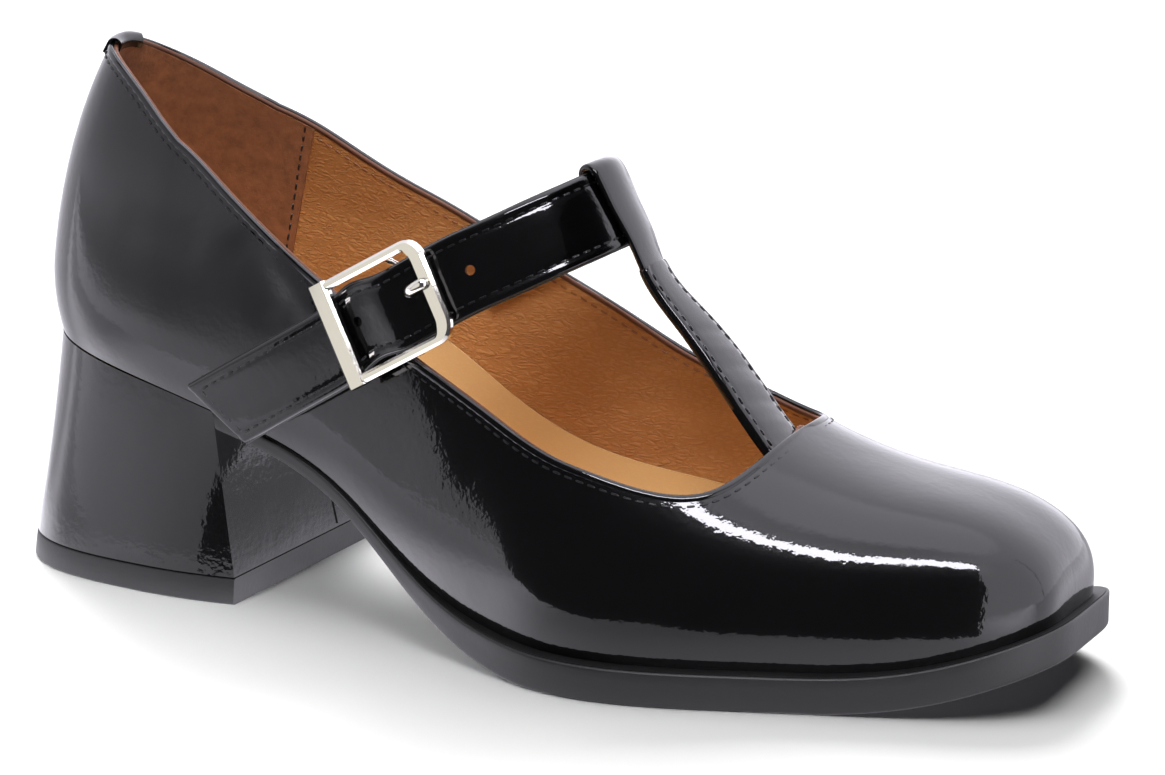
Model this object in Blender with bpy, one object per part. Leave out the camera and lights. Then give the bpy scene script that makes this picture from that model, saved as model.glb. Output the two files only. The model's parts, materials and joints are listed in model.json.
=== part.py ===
"""Right-foot strap shoe: a patent T-bar shoe with a buckled ankle strap, on a flared block heel.

The shoe is laid out in millimetres with x from the heel's back to the toe, y from the outer
(lateral, negative) to the inner (medial, positive) side, and z up from the floor. The empty
"shoe" moves that layout so that the origin lies under the middle of the shoe's box.
"""

import math

import bpy
import numpy as np

for old in list(bpy.data.objects):
    bpy.data.objects.remove(old, do_unlink=True)

# Driving sizes, in millimetres
MM = 0.001
LAYOUT_CENTRE = (125.35, 0.3)
WALL = 1.8
GAP = 0.3
FAN_X = 45.0
FAN_BACK = 45.0
FAN_ROUND = 2.2
FAN_PINCH = 0.15
BACK_CROWN = 140.0
TUCK_HEIGHT = 17.0
TOE_TIP = 248.0
PLAN_CAP_START = 200.0
PLAN_CAP_POWER = 5.0
CROWN_CAP_START = 205.0
CROWN_CAP_POWER = 3.0
TIP_BULGE = 0.4
TIP_BULGE_POWER = 6
TOE_TURN = 215.0
TOE_TURN_POWER = 0.8
THROAT = 187.5
INSOLE_THICK = 2.4
INSOLE_RIM = 0.4
HEEL_BREAST = 57.5
TOP_LIFT_THICK = 6.0
STRAP_WIDTH = 17.5
STRAP_THICK = 2.0
T_WIDTH_TOP = 12.5
T_WIDTH_THROAT = 14.0
T_NECK = 0.30
T_NECK_AT = 61.0
T_NECK_HALF = 15.0
T_THICK = 1.6
T_CENTRE_Y = 1.5
STRAP_RIM = 0.6
BUCKLE_AT = (108.2, 74.0)
BUCKLE_ACROSS = 1.0
BUCKLE_TURN = -4.0
BUCKLE_LONG = 26.6
BUCKLE_WIDE = 21.6
BUCKLE_WIRE = 2.4
BUCKLE_CORNER = 4.0
KEEPER_CORNER = 1.0
KEEPER_WIDE = 4.4
BAR_SQUARE = 0.7
FRAME_LIFT = 2.7
PIVOT_RADIUS = 0.8
PIVOT_PLACE = 2.5
PIVOT_DROP = -4.7
PRONG_RADIUS = 1.0
PRONG_HOLE = 7.2
PRONG_HOLE_RADIUS = 1.8
TAB_WIDTH = 15.0
TAB_THICK = 1.0
TAB_ROOT = -24.0
TAB_LEVEL = -5.2
BACK_TAB_REACH = 5.5
BACK_TAB_DROP = 2.8
BACK_TAB_INSIDE = 1.2

# Sections of the last, one row each. lateral and medial are the widest lines, ridge and crown
# the top line's y and z, square the roundness of the section, tuck how far the wall draws in
# at the feather line, swing how far the section turns with the toe.
LAST_COLUMNS = ("x", "lateral", "medial", "ridge", "crown", "square", "tuck", "swing")
LAST = (
    (45, -29.5, 29.0, 0.0, 124.0, 2.00, 2.4, 0.00),
    (65, -29.5, 26.5, 0.0, 130.0, 2.00, 2.2, 0.00),
    (85, -30.2, 22.5, 0.0, 133.0, 2.00, 2.0, 0.00),
    (105, -32.6, 21.5, 0.3, 134.0, 2.00, 2.0, 0.00),
    (120, -35.4, 23.0, 1.0, 125.0, 2.00, 2.0, 0.00),
    (135, -38.8, 26.0, 2.0, 103.5, 2.00, 2.0, 0.00),
    (150, -42.2, 31.0, 3.2, 81.0, 2.00, 2.0, 0.00),
    (165, -41.2, 36.0, 4.8, 66.5, 2.10, 2.0, 0.01),
    (180, -36.2, 40.2, 7.0, 55.0, 2.25, 2.0, 0.02),
    (195, -29.6, 42.2, 9.5, 47.6, 2.40, 2.0, 0.03),
    (212, -21.8, 42.6, 12.0, 43.2, 2.60, 1.6, 0.045),
    (230, -13.8, 41.4, 14.0, 42.0, 2.80, 1.2, 0.06),
    (248, -5.6, 38.6, 15.0, 41.6, 3.00, 0.8, 0.07),
)

# Feather line: x and the height of the upper's lower edge
FEATHER = (
    (-10, 53.4), (5, 52.3), (25, 50.0), (45, 46.4), (57, 43.6), (70, 40.6), (82, 36.6),
    (93, 30.8), (104, 22.9), (115, 15.8), (127, 10.9), (140, 8.7), (155, 8.1), (175, 8.0),
    (195, 8.1), (215, 8.8), (232, 12.0), (250, 18.6), (262, 24.0),
)

# Topline: station and height, back seam to throat. Stations below FAN_X fan round the heel.
TOPLINE = {
    "lateral": (
        (0, 118.5), (12, 116.8), (22, 112.6), (32, 108.0), (45, 102.1), (60, 93.2), (76, 83.0),
        (95, 72.8), (118, 62.2), (140, 52.8), (158, 46.8), (170, 43.8), (180, 43.6),
    ),
    "medial": (
        (0, 118.5), (12, 114.6), (22, 110.0), (33, 105.8), (45, 102.1), (64, 94.4), (87, 86.6),
        (105, 79.7), (125, 71.0), (145, 60.9), (162, 54.0), (174, 50.0), (182, 48.8),
    ),
}
SIDE = {"lateral": -1.0, "medial": 1.0}

# Outsole along x: how far its ledge stands out past the upper, and its thickness
SOLE_COLUMNS = ("x", "ledge", "thick")
SOLE = (
    (58, 0.5, 3.6), (85, 0.7, 3.6), (105, 1.1, 4.4), (122, 2.2, 6.2), (140, 3.2, 7.6),
    (160, 3.5, 8.0), (190, 3.5, 8.0), (250, 3.5, 8.0),
)
# Outsole edge from its top to its bottom: inset from the outline, and share of the thickness
SOLE_EDGE = (
    (0.5, 0.0), (0.0, 0.08), (0.0, 0.20), (0.4, 0.22), (0.4, 0.30), (0.0, 0.32), (0.0, 0.92), (0.6, 1.0),
)
# The rim's rounding is kept this far off the floor
SOLE_RIM_LIFT = 0.4

# Heel foot: centre, reach to the back, half width, roundness, and the breast corner
HEEL_FOOT_X = 40.0
HEEL_FOOT_BACK = 40.6
HEEL_FOOT_HALF = 33.0
HEEL_FOOT_ROUND = 3.0
HEEL_FOOT_BREAST = 64.3
HEEL_FOOT_CORNER = 30.0
HEEL_FLARE_PER_MM = 0.12
HEEL_LEVELS = 6
HEEL_RIM = 0.5

# Ankle strap from its free end to its end inside the inner quarter: centre line and lean of its width
STRAP_COLUMNS = ("x", "y", "z", "lean")
STRAP = (
    (61.6, -31.0, 44.4, 0.00),
    (76.7, -31.4, 53.9, 0.05),
    (91.7, -31.3, 63.3, 0.09),
    (106.8, -31.1, 73.0, 0.12),
    (121.0, -28.0, 82.7, 0.14),
    (130.7, -22.5, 88.0, 0.13),
    (137.6, -17.0, 91.8, 0.10),
    (142.0, -11.0, 94.1, 0.06),
    (144.4, -5.0, 95.4, 0.03),
    (145.2, 1.0, 95.8, 0.00),
    (143.8, 6.5, 95.0, -0.03),
    (140.8, 11.0, 93.5, -0.06),
    (135.5, 14.2, 90.6, -0.09),
    (128.5, 15.7, 86.9, -0.10),
    (117.9, 15.4, 81.2, -0.11),
    (108.2, 15.4, 76.1, -0.11),
    (99.4, 15.6, 71.4, -0.10),
)
STRAP_UPRIGHT = (-0.47, 0.88)
STRAP_END_SLANT = 7.5
STRAP_END_FADE = 30.0

# T-bar below its loop: centre line from under the vamp up to the ankle strap
T_BAR = (
    (200.0, 41.6), (194.0, 43.6), (188.5, 46.2), (184.0, 50.2), (176.0, 59.4), (164.0, 72.2), (154.5, 81.9),
)
T_ARCH_RADIUS = 22.0
T_LOOP_CLEAR = 0.5


def spline(xs, ys):
    """Natural cubic curve through points, carried on straight past its ends."""
    xs = np.asarray(xs, float)
    ys = np.asarray(ys, float)
    count = len(xs)
    step = np.diff(xs)
    matrix = np.eye(count)
    right = np.zeros(count)
    for i in range(1, count - 1):
        matrix[i, i - 1:i + 2] = step[i - 1], 2 * (step[i - 1] + step[i]), step[i]
        right[i] = 6 * ((ys[i + 1] - ys[i]) / step[i] - (ys[i] - ys[i - 1]) / step[i - 1])
    bend = np.linalg.solve(matrix, right)
    low_slope = (ys[1] - ys[0]) / step[0] - step[0] * bend[1] / 6
    high_slope = (ys[-1] - ys[-2]) / step[-1] + step[-1] * bend[-2] / 6

    def at(x):
        x = np.asarray(x, float)
        i = np.clip(np.searchsorted(xs, x) - 1, 0, count - 2)
        h = step[i]
        a = (xs[i + 1] - x) / h
        b = (x - xs[i]) / h
        bow = ((a**3 - a) * bend[i] + (b**3 - b) * bend[i + 1]) * h * h / 6
        inside = a * ys[i] + b * ys[i + 1] + bow
        low = ys[0] + (x - xs[0]) * low_slope
        high = ys[-1] + (x - xs[-1]) * high_slope
        return np.where(x < xs[0], low, np.where(x > xs[-1], high, inside))

    return at


def columns(names, rows):
    """One curve over the first column for each other named column."""
    across = [row[0] for row in rows]
    return {name: spline(across, [row[i] for row in rows]) for i, name in enumerate(names) if i}


# A mirrored row behind the first keeps the curves level where the heel's fan begins.
LAST_CURVE = columns(LAST_COLUMNS, ((2 * FAN_X - LAST[1][0], *LAST[1][1:]), *LAST))
SOLE_CURVE = columns(SOLE_COLUMNS, SOLE)
feather_z = spline(*zip(*FEATHER))


def cap(x, start, power):
    """Share of a size left towards the toe's tip, from 1 at start to 0 at the tip."""
    along = min(1.0, max(0.0, (x - start) / (TOE_TIP - start)))
    return (1 - along**power) ** (1 / power)


def section(station, side):
    """One side of a section of the last: where it starts, which way it goes and its sizes."""
    turn = SIDE[side]
    at = max(station, FAN_X)
    size = {name: float(curve(at)) for name, curve in LAST_CURVE.items()}
    full = abs(size[side] - size["ridge"])
    pinch = 0.0
    if station < FAN_X:
        angle = math.radians(90 * (1 - station / FAN_X))
        back, out = math.sin(angle), math.cos(angle)
        reach = ((back / FAN_BACK) ** FAN_ROUND + (out / full) ** FAN_ROUND) ** (-1 / FAN_ROUND)
        start = (FAN_X, 0.0)
        way = (-back, turn * out)
        crown = size["crown"] + (BACK_CROWN - size["crown"]) * back**2
        pinch = FAN_PINCH * (2 * back * out) ** 2
        full = reach
    else:
        reach = full * cap(station, PLAN_CAP_START, PLAN_CAP_POWER)
        start = (station, size["ridge"])
        way = (-size["swing"] * turn, turn)
        crown = size["crown"]
    middle = float(feather_z(start[0]))
    base = float(feather_z(start[0] + way[0] * reach))
    height = middle + (crown - middle) * cap(station, CROWN_CAP_START, CROWN_CAP_POWER) - base
    along = max(0.0, (station - CROWN_CAP_START) / (TOE_TIP - CROWN_CAP_START))
    bulge = TIP_BULGE * along**TIP_BULGE_POWER
    return start, way, reach, base, height, size["square"], size["tuck"] / full, bulge, pinch


def profile(station, side, angles):
    """Points of the last on one side of a section, from the feather line (0) to the ridge (pi/2)."""
    start, way, reach, base, height, square, tuck, bulge, pinch = section(station, side)
    angles = np.asarray(angles, float)
    up = height * np.clip(np.sin(angles), 0, 1) ** (2 / square)
    low = np.clip(1 - up / TUCK_HEIGHT, 0, 1) ** 2
    out = reach * np.clip(np.cos(angles), 0, 1) ** (2 / square) * (1 - tuck * low)
    if pinch:
        out *= 1 - pinch * (up / height) ** 2
    x = start[0] + way[0] * out + bulge * (1 - low)
    y = start[1] + way[1] * out
    return np.stack([x, y, base + up], 1)


def even_profile(station, side, top, rows):
    """The section's points from the feather line to the top angle, evenly spread along the wall."""
    dense = profile(station, side, top * np.linspace(0, 1, 240) ** 1.5)
    run = np.concatenate([[0], np.cumsum(np.linalg.norm(np.diff(dense, axis=0), axis=1))])
    at = np.linspace(0, run[-1], rows)
    return np.stack([np.interp(at, run, dense[:, k]) for k in range(3)], 1)


def top_angle(station, side, z):
    """The angle on a section at which it reaches the height z."""
    _, _, _, base, height, square, _, _, _ = section(station, side)
    return math.asin(min(1.0, max(0.0, (z - base) / height)) ** (square / 2))


def topline(side, count):
    """Stations and top angles along the collar, from the back seam to the middle of the throat."""
    rows = np.array([(station, top_angle(station, side, z)) for station, z in TOPLINE[side]])
    # Mirrored rows at both ends carry the curve smoothly across the back seam and the ridge.
    behind = rows[:0:-1] * (-1, 1)
    beyond = rows[::-1] * (1, -1) + (0, math.pi)
    rows = np.concatenate([behind, rows, [(THROAT, math.pi / 2)], beyond])
    stations, angles = rows.T
    run = np.concatenate([[0], np.cumsum(np.hypot(np.diff(stations), np.diff(angles) * 30))])
    at = np.linspace(run[len(behind)], run[-len(beyond) - 1], count)
    stations = np.clip(spline(run, stations)(at), 0, THROAT)
    angles = spline(run, angles)(at)
    stations[0] = 0.0
    stations[-1] = THROAT
    angles[-1] = math.pi / 2
    return stations, angles


def toe_stations(count):
    """Stations from the throat to the tip, closer together towards the tip."""
    turn = np.linspace(0, math.pi / 2, count)
    return THROAT + (TOE_TIP - THROAT) * np.sin(turn) ** TOE_TURN_POWER


def tip_stations(count):
    """Stations past TOE_TURN to the tip, for outlines that follow the feather line."""
    turn = np.linspace(0, math.pi / 2, count + 1)[1:]
    return TOE_TURN + (TOE_TIP - TOE_TURN) * np.sin(turn) ** TOE_TURN_POWER


def feather_ring(first, count):
    """Plan of the feather line, from a station on the outer side round the toe to the inner side."""
    stations = np.concatenate([np.linspace(first, TOE_TURN, count), tip_stations(count // 2)])
    outer = [profile(s, "lateral", [0.0])[0] for s in stations]
    inner = [profile(s, "medial", [0.0])[0] for s in stations[-2::-1]]
    return np.array(outer + inner)


def seat_ring(count):
    """Plan of the feather line round the heel, from the outer breast corner to the inner one."""
    stations = np.concatenate([np.linspace(HEEL_BREAST, FAN_X, 4)[:-1], np.linspace(FAN_X, 0, count)])
    outer = [profile(s, "lateral", [0.0])[0] for s in stations]
    inner = [profile(s, "medial", [0.0])[0] for s in stations[-2::-1]]
    return np.array(outer + inner)


def outward(ring):
    """Plan normals of an open ring that runs from the outer side round to the inner side."""
    along = np.gradient(ring[:, :2], axis=0)
    normal = np.stack([along[:, 1], -along[:, 0]], 1)
    return normal / np.linalg.norm(normal, axis=1)[:, None]


# Building closed solids from rings and grids of points

def make_object(name, points, faces, material):
    """A mesh object under the shoe's empty, from points in millimetres."""
    mesh = bpy.data.meshes.new(name)
    mesh.from_pydata((np.asarray(points) * MM).tolist(), [], faces)
    mesh.validate()
    mesh.shade_smooth()
    mesh.set_sharp_from_angle(angle=math.radians(40))
    mesh.materials.append(material)
    thing = bpy.data.objects.new(name, mesh)
    thing.parent = shoe
    bpy.context.scene.collection.objects.link(thing)
    return thing


def make_material(name, colour, roughness, metallic):
    material = bpy.data.materials.new(name)
    material.use_nodes = True
    shader = material.node_tree.nodes["Principled BSDF"]
    shader.inputs["Base Color"].default_value = (*colour, 1)
    shader.inputs["Roughness"].default_value = roughness
    shader.inputs["Metallic"].default_value = metallic
    return material


def paired_slab(levels):
    """Closed solid from open rings, top to bottom. Point i faces point -1-i across the shoe."""
    count = len(levels[0])
    points = np.concatenate(levels)
    faces = []
    for level in range(len(levels) - 1):
        upper, lower = level * count, (level + 1) * count
        for i in range(count - 1):
            faces.append((upper + i, lower + i, lower + i + 1, upper + i + 1))
    end = [level * count for level in range(len(levels))]
    far = [level * count + count - 1 for level in range(len(levels))]
    for a in range(len(levels) - 1):
        faces.append((end[a], far[a], far[a + 1], end[a + 1]))
    last = (len(levels) - 1) * count
    for i in range(count // 2):
        j = count - 1 - i
        if j - i == 2:
            faces.append((i, i + 1, j))
            faces.append((last + j, last + i + 1, last + i))
        elif j - i > 2:
            faces.append((i, i + 1, j - 1, j))
            faces.append((last + j, last + j - 1, last + i + 1, last + i))
    return points, faces


def sheet(outer, inner):
    """Closed solid between two grids. Seen from outside, outer has rows to the right, columns up."""
    rows, cols = outer.shape[:2]
    points = np.concatenate([outer.reshape(-1, 3), inner.reshape(-1, 3)])
    below = rows * cols

    def at(r, c):
        return r * cols + c

    faces = []
    for r in range(rows - 1):
        for c in range(cols - 1):
            quad = (at(r, c), at(r + 1, c), at(r + 1, c + 1), at(r, c + 1))
            faces.append(quad)
            faces.append(tuple(below + k for k in reversed(quad)))
    rim = [at(r, 0) for r in range(rows)]
    rim += [at(rows - 1, c) for c in range(1, cols)]
    rim += [at(r, cols - 1) for r in range(rows - 2, -1, -1)]
    rim += [at(0, c) for c in range(cols - 2, 0, -1)]
    for a, b in zip(rim, rim[1:] + rim[:1]):
        faces.append((b, a, below + a, below + b))
    return points, faces


def vertex_normals(points, faces):
    """Normals of the points of a mesh of triangles and quads."""
    normals = np.zeros_like(points)
    for face in faces:
        corner = points[list(face)]
        if len(face) == 4:
            area = np.cross(corner[2] - corner[0], corner[3] - corner[1])
        else:
            area = np.cross(corner[1] - corner[0], corner[2] - corner[0])
        normals[list(face)] += area
    return normals / np.linalg.norm(normals, axis=1)[:, None]


def rod(path, radius, sides):
    """Closed tube along a path of points, as points and faces."""
    path = np.asarray(path, float)
    along = np.gradient(path, axis=0)
    along /= np.linalg.norm(along, axis=1)[:, None]
    across = np.cross(along[0], (0.0, 0.0, 1.0))
    points = []
    for centre, way in zip(path, along):
        across = across - way * (across @ way)
        across /= np.linalg.norm(across)
        up = np.cross(way, across)
        for k in range(sides):
            turn = 2 * math.pi * k / sides
            points.append(centre + radius * (math.cos(turn) * across + math.sin(turn) * up))
    faces = []
    for i in range(len(path) - 1):
        for k in range(sides):
            n = (k + 1) % sides
            faces.append((i * sides + k, i * sides + n, (i + 1) * sides + n, (i + 1) * sides + k))
    faces.append(tuple(reversed(range(sides))))
    faces.append(tuple((len(path) - 1) * sides + k for k in range(sides)))
    return np.array(points), faces


def join_with(target, helper, operation):
    """Boolean of a hidden helper on a target."""
    helper.hide_render = True
    helper.display_type = "WIRE"
    cut = target.modifiers.new(operation.title(), "BOOLEAN")
    cut.operation = operation
    cut.solver = "EXACT"
    cut.object = helper


# The pieces

def upper_outer(quarter, toe, rows):
    """Points and faces of the last's surface inside the topline, with its two rims of point numbers."""
    points = []
    index = {}
    grids = {}
    for side in SIDE:
        stations, tops = topline(side, quarter)
        walls = list(zip(stations, tops))
        walls += [(s, math.pi / 2) for s in toe_stations(toe)[1:-1]]
        grid = []
        for col, (station, top) in enumerate(walls):
            column = []
            for row, point in enumerate(even_profile(station, side, top, rows)):
                shared = col == 0 or (row == rows - 1 and col >= quarter - 1)
                key = (col, row) if shared else (side, col, row)
                if key not in index:
                    index[key] = len(points)
                    points.append(point)
                column.append(index[key])
            grid.append(column)
        grids[side] = grid
    tip = len(points)
    points.append(profile(TOE_TIP, "lateral", [0.0])[0])
    faces = []
    for side, grid in grids.items():
        columns_on = grid + [[tip] * rows]
        for col in range(len(columns_on) - 1):
            for row in range(rows - 1):
                a, b = columns_on[col], columns_on[col + 1]
                quad = [a[row], b[row], b[row + 1], a[row + 1]]
                if b[row] == b[row + 1]:
                    quad = [a[row], b[row], a[row + 1]]
                if side == "medial":
                    quad.reverse()
                faces.append(tuple(quad))
    outer, inner = grids["lateral"], grids["medial"]
    bottom = [c[0] for c in outer] + [tip] + [c[0] for c in inner[:0:-1]]
    collar = [c[-1] for c in outer[:quarter]] + [c[-1] for c in inner[quarter - 2:0:-1]]
    return np.array(points), faces, bottom, collar


def build_upper():
    points, faces, bottom, collar = upper_outer(quarter=44, toe=15, rows=12)
    normals = vertex_normals(points, faces)
    inside = points - WALL * normals
    inside[bottom, 2] = points[bottom, 2]
    below = len(points)
    solid = list(faces) + [tuple(below + k for k in reversed(face)) for face in faces]
    for a, b in zip(bottom, bottom[1:] + bottom[:1]):
        solid.append((b, a, below + a, below + b))
    for a, b in zip(collar, collar[1:] + collar[:1]):
        solid.append((a, b, below + b, below + a))
    make_object("upper", np.concatenate([points, inside]), solid, patent)


def build_outsole():
    ring = feather_ring(HEEL_BREAST + GAP, 34)
    normal = outward(ring)
    normal[[0, -1]] = (0, -1), (0, 1)
    lean = (HEEL_FOOT_BREAST - HEEL_BREAST) / (float(feather_z(HEEL_BREAST)) - TOP_LIFT_THICK - 2 * GAP)
    levels = []
    for inset, share in SOLE_EDGE:
        level = ring.copy()
        level[:, :2] += normal * (SOLE_CURVE["ledge"](ring[:, 0]) - inset)[:, None]
        top = feather_z(level[:, 0]) - GAP
        floor = SOLE_RIM_LIFT if share < 1 else 0.0
        level[:, 2] = np.maximum(top - share * SOLE_CURVE["thick"](level[:, 0]), floor)
        # The rear end leans with the heel's breast.
        level[[0, -1], 0] += (top - level[:, 2])[[0, -1]] * lean
        levels.append(level)
    make_object("outsole", *paired_slab(levels), edge_rubber)


def heel_foot_ring(seat, flare):
    """The heel's outline near the floor, point for point with the ring round its seat."""
    ring = np.empty((len(seat), 2))
    for i, (x, y) in enumerate(seat[:, :2]):
        half = HEEL_FOOT_HALF + flare
        if x > FAN_X:
            along = (x - FAN_X) / (HEEL_BREAST - FAN_X)
            corner = HEEL_FOOT_CORNER + flare
            ahead = along * (HEEL_FOOT_BREAST - HEEL_FOOT_X)
            ring[i] = HEEL_FOOT_X + ahead, half - (half - corner) * along**2
        else:
            angle = math.atan2(FAN_X - x, abs(y))
            reach = ((math.sin(angle) / (HEEL_FOOT_BACK + flare)) ** HEEL_FOOT_ROUND
                     + (math.cos(angle) / half) ** HEEL_FOOT_ROUND) ** (-1 / HEEL_FOOT_ROUND)
            ring[i] = HEEL_FOOT_X - math.sin(angle) * reach, math.cos(angle) * reach
        ring[i, 1] *= math.copysign(1.0, y) if abs(y) > 1e-6 else 0.0
    return ring


def build_heel():
    seat = seat_ring(17)
    foot_z = TOP_LIFT_THICK + GAP
    foot = heel_foot_ring(seat, 0.0)
    levels = []
    for share in np.linspace(0, 1, HEEL_LEVELS):
        level = seat.copy()
        level[:, :2] += (foot - seat[:, :2]) * share
        top = feather_z(seat[:, 0]) - GAP
        level[:, 2] = top + (foot_z - top) * share
        levels.append(level[::-1])
    make_object("heel", *paired_slab(levels), patent)


def build_top_lift():
    seat = seat_ring(17)
    levels = []
    edge = ((TOP_LIFT_THICK, HEEL_RIM), (TOP_LIFT_THICK - HEEL_RIM, 0), (HEEL_RIM, 0), (0, HEEL_RIM))
    for height, inset in edge:
        flare = (TOP_LIFT_THICK - height) * HEEL_FLARE_PER_MM - inset
        level = np.empty((len(seat), 3))
        level[:, :2] = heel_foot_ring(seat, flare)
        level[:, 2] = height
        levels.append(level[::-1])
    make_object("top_lift", *paired_slab(levels), lift_rubber)


def build_insole():
    around = np.linspace(0, FAN_X, 12)[:-1]
    stations = np.concatenate([around, np.linspace(FAN_X, TOE_TURN, 26), tip_stations(13)])
    outer = np.array([profile(s, "lateral", [0.0])[0] for s in stations])
    inner = np.array([profile(s, "medial", [0.0])[0] for s in stations])
    ring = np.concatenate([outer, inner[-2:0:-1]])
    along = np.roll(ring[:, :2], -1, 0) - np.roll(ring[:, :2], 1, 0)
    normal = np.stack([along[:, 1], -along[:, 0]], 1)
    normal /= np.linalg.norm(normal, axis=1)[:, None]
    ring[:, :2] -= normal * (WALL + GAP)
    count = len(stations)
    total = len(ring)
    points = []
    for lift, inset in ((INSOLE_THICK, INSOLE_RIM), (INSOLE_THICK - INSOLE_RIM, 0.0), (0.0, 0.0)):
        level = ring.copy()
        level[:, :2] -= normal * inset
        level[:, 2] = feather_z(level[:, 0]) + lift
        points.append(level)
    faces = []
    for level in (0, 1):
        for i in range(total):
            n = (i + 1) % total
            upper, lower = level * total, (level + 1) * total
            faces.append((upper + i, lower + i, lower + n, upper + n))
    low = 2 * total
    for i in range(count - 1):
        a, b = (total - i) % total, total - i - 1
        top = (i, i + 1, b, a)
        top = tuple(dict.fromkeys(top))
        faces.append(top)
        faces.append(tuple(low + k for k in reversed(top)))
    make_object("insole", np.concatenate(points), faces, sock_leather)


def frames_at(curve, at):
    centre = np.stack([curve[k](at) for k in range(3)], 1)
    ahead = np.stack([curve[k](at + 0.5) - curve[k](at - 0.5) for k in range(3)], 1)
    ahead /= np.linalg.norm(ahead, axis=1)[:, None]
    wide = np.stack([np.full(len(at), STRAP_UPRIGHT[0]), curve[3](at), np.full(len(at), STRAP_UPRIGHT[1])], 1)
    wide -= ahead * (wide * ahead).sum(1)[:, None]
    wide /= np.linalg.norm(wide, axis=1)[:, None]
    out = np.cross(ahead, wide)
    return centre, ahead, wide, out


STRAP_ROWS = np.array(STRAP, float)
STRAP_RUN = np.concatenate([[0], np.cumsum(np.linalg.norm(np.diff(STRAP_ROWS[:, :3], axis=0), axis=1))])
STRAP_CURVE = [spline(STRAP_RUN, STRAP_ROWS[:, k]) for k in range(4)]


def strap_point(along, across, out):
    """A point by its place along the strap, across its width and out from its middle."""
    centre, _, wide, normal = frames_at(STRAP_CURVE, np.atleast_1d(np.asarray(along, float)))
    return centre + wide * np.atleast_1d(across)[:, None] + normal * np.atleast_1d(out)[:, None]


def run_at(x, z):
    """Length along the strap of its point nearest to x, z on the outer side."""
    at = np.linspace(0, STRAP_RUN[8], 600)
    return at[np.argmin((STRAP_CURVE[0](at) - x) ** 2 + (STRAP_CURVE[2](at) - z) ** 2)]


def buckle_point(along, across, out):
    """A point in the buckle's flat frame: along and across it, and out from the strap's middle."""
    centre, ahead, wide, normal = (v[0] for v in frames_at(STRAP_CURVE, np.array([run_at(*BUCKLE_AT)])))
    turn = math.radians(BUCKLE_TURN)
    long_way = ahead * math.cos(turn) + wide * math.sin(turn)
    wide_way = wide * math.cos(turn) - ahead * math.sin(turn)
    return centre + wide * BUCKLE_ACROSS + long_way * along + wide_way * across + normal * out


def build_ankle_strap():
    half = STRAP_WIDTH / 2
    thick = STRAP_THICK / 2
    along = np.linspace(0, STRAP_RUN[-1], 46)
    across = np.array([-half, -half + STRAP_RIM, 0.0, half - STRAP_RIM, half])
    crown = np.array([thick / 2, thick, thick, thick, thick / 2])
    outer = np.empty((len(along), len(across), 3))
    inner = np.empty_like(outer)
    fade = np.clip(1 - along / STRAP_END_FADE, 0, 1)
    for k, (b, n) in enumerate(zip(across, crown)):
        place = along + fade * STRAP_END_SLANT * (0.5 - (b + half) / STRAP_WIDTH)
        outer[:, k] = strap_point(place, np.full(len(along), b), np.full(len(along), n))
        inner[:, k] = strap_point(place, np.full(len(along), b), np.full(len(along), -n))
    strap = make_object("ankle_strap", *sheet(outer, inner), patent)
    reach = 2 * STRAP_THICK
    hole = [buckle_point(PRONG_HOLE, 0.0, -reach), buckle_point(PRONG_HOLE, 0.0, reach)]
    cutter = make_object("prong_hole", *rod(hole, PRONG_HOLE_RADIUS, 12), metal)
    join_with(strap, cutter, "DIFFERENCE")


def build_t_strap():
    half = STRAP_WIDTH / 2 + T_LOOP_CLEAR + T_THICK / 2
    lift = STRAP_THICK / 2 + T_LOOP_CLEAR + T_THICK / 2
    middle = run_at_y(T_CENTRE_Y)
    centre, _, wide, _ = (v[0] for v in frames_at(STRAP_CURVE, np.array([middle])))
    wide = np.array([wide[0], wide[2]]) / math.hypot(wide[0], wide[2])
    out = np.array([wide[1], -wide[0]])
    heart = np.array([centre[0], centre[2]])
    path = [np.array(p) for p in T_BAR]
    path.append(heart - wide * (half - 2.0) + out * lift)
    path.append(heart + out * lift)
    for turn in np.linspace(0, math.pi, 7):
        path.append(heart + wide * (half - lift + lift * math.sin(turn)) + out * lift * math.cos(turn))
    path.append(heart - out * lift)
    path.append(heart - wide * (half - 3.0) - out * lift)
    path = np.array(path)
    run = np.concatenate([[0], np.cumsum(np.linalg.norm(np.diff(path, axis=0), axis=1))])
    smooth = [spline(run, path[:, k]) for k in range(2)]
    at = np.linspace(0, run[-1], 48)
    line = np.stack([smooth[0](at), smooth[1](at)], 1)
    ahead = np.gradient(line, axis=0)
    ahead /= np.linalg.norm(ahead, axis=1)[:, None]
    normal = np.stack([ahead[:, 1], -ahead[:, 0]], 1)
    share = np.clip(at / run[len(T_BAR)], 0, 1)
    width = T_WIDTH_THROAT + (T_WIDTH_TOP - T_WIDTH_THROAT) * share
    width *= 1 - T_NECK * np.exp(-(((at - T_NECK_AT) / T_NECK_HALF) ** 2))
    near = np.clip((share - 0.7) / 0.3, 0, 1)
    onto_strap = near**2 * (3 - 2 * near)
    across = np.linspace(-0.5, 0.5, 5)
    grids = [np.empty((len(at), len(across), 3)) for _ in range(2)]
    for k, part in enumerate(across):
        aside = -part * width
        for grid, sign in zip(grids, (1, -1)):
            flat = line + normal * (sign * T_THICK / 2)
            local = flat - heart
            looped = strap_point(middle + aside, local @ wide, local @ out)
            drop = aside**2 / (2 * T_ARCH_RADIUS)
            plain = np.stack([flat[:, 0], T_CENTRE_Y + aside, flat[:, 1] - drop], 1)
            grid[:, k] = plain + (looped - plain) * onto_strap[:, None]
    make_object("t_strap", *sheet(*grids), patent)


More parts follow.
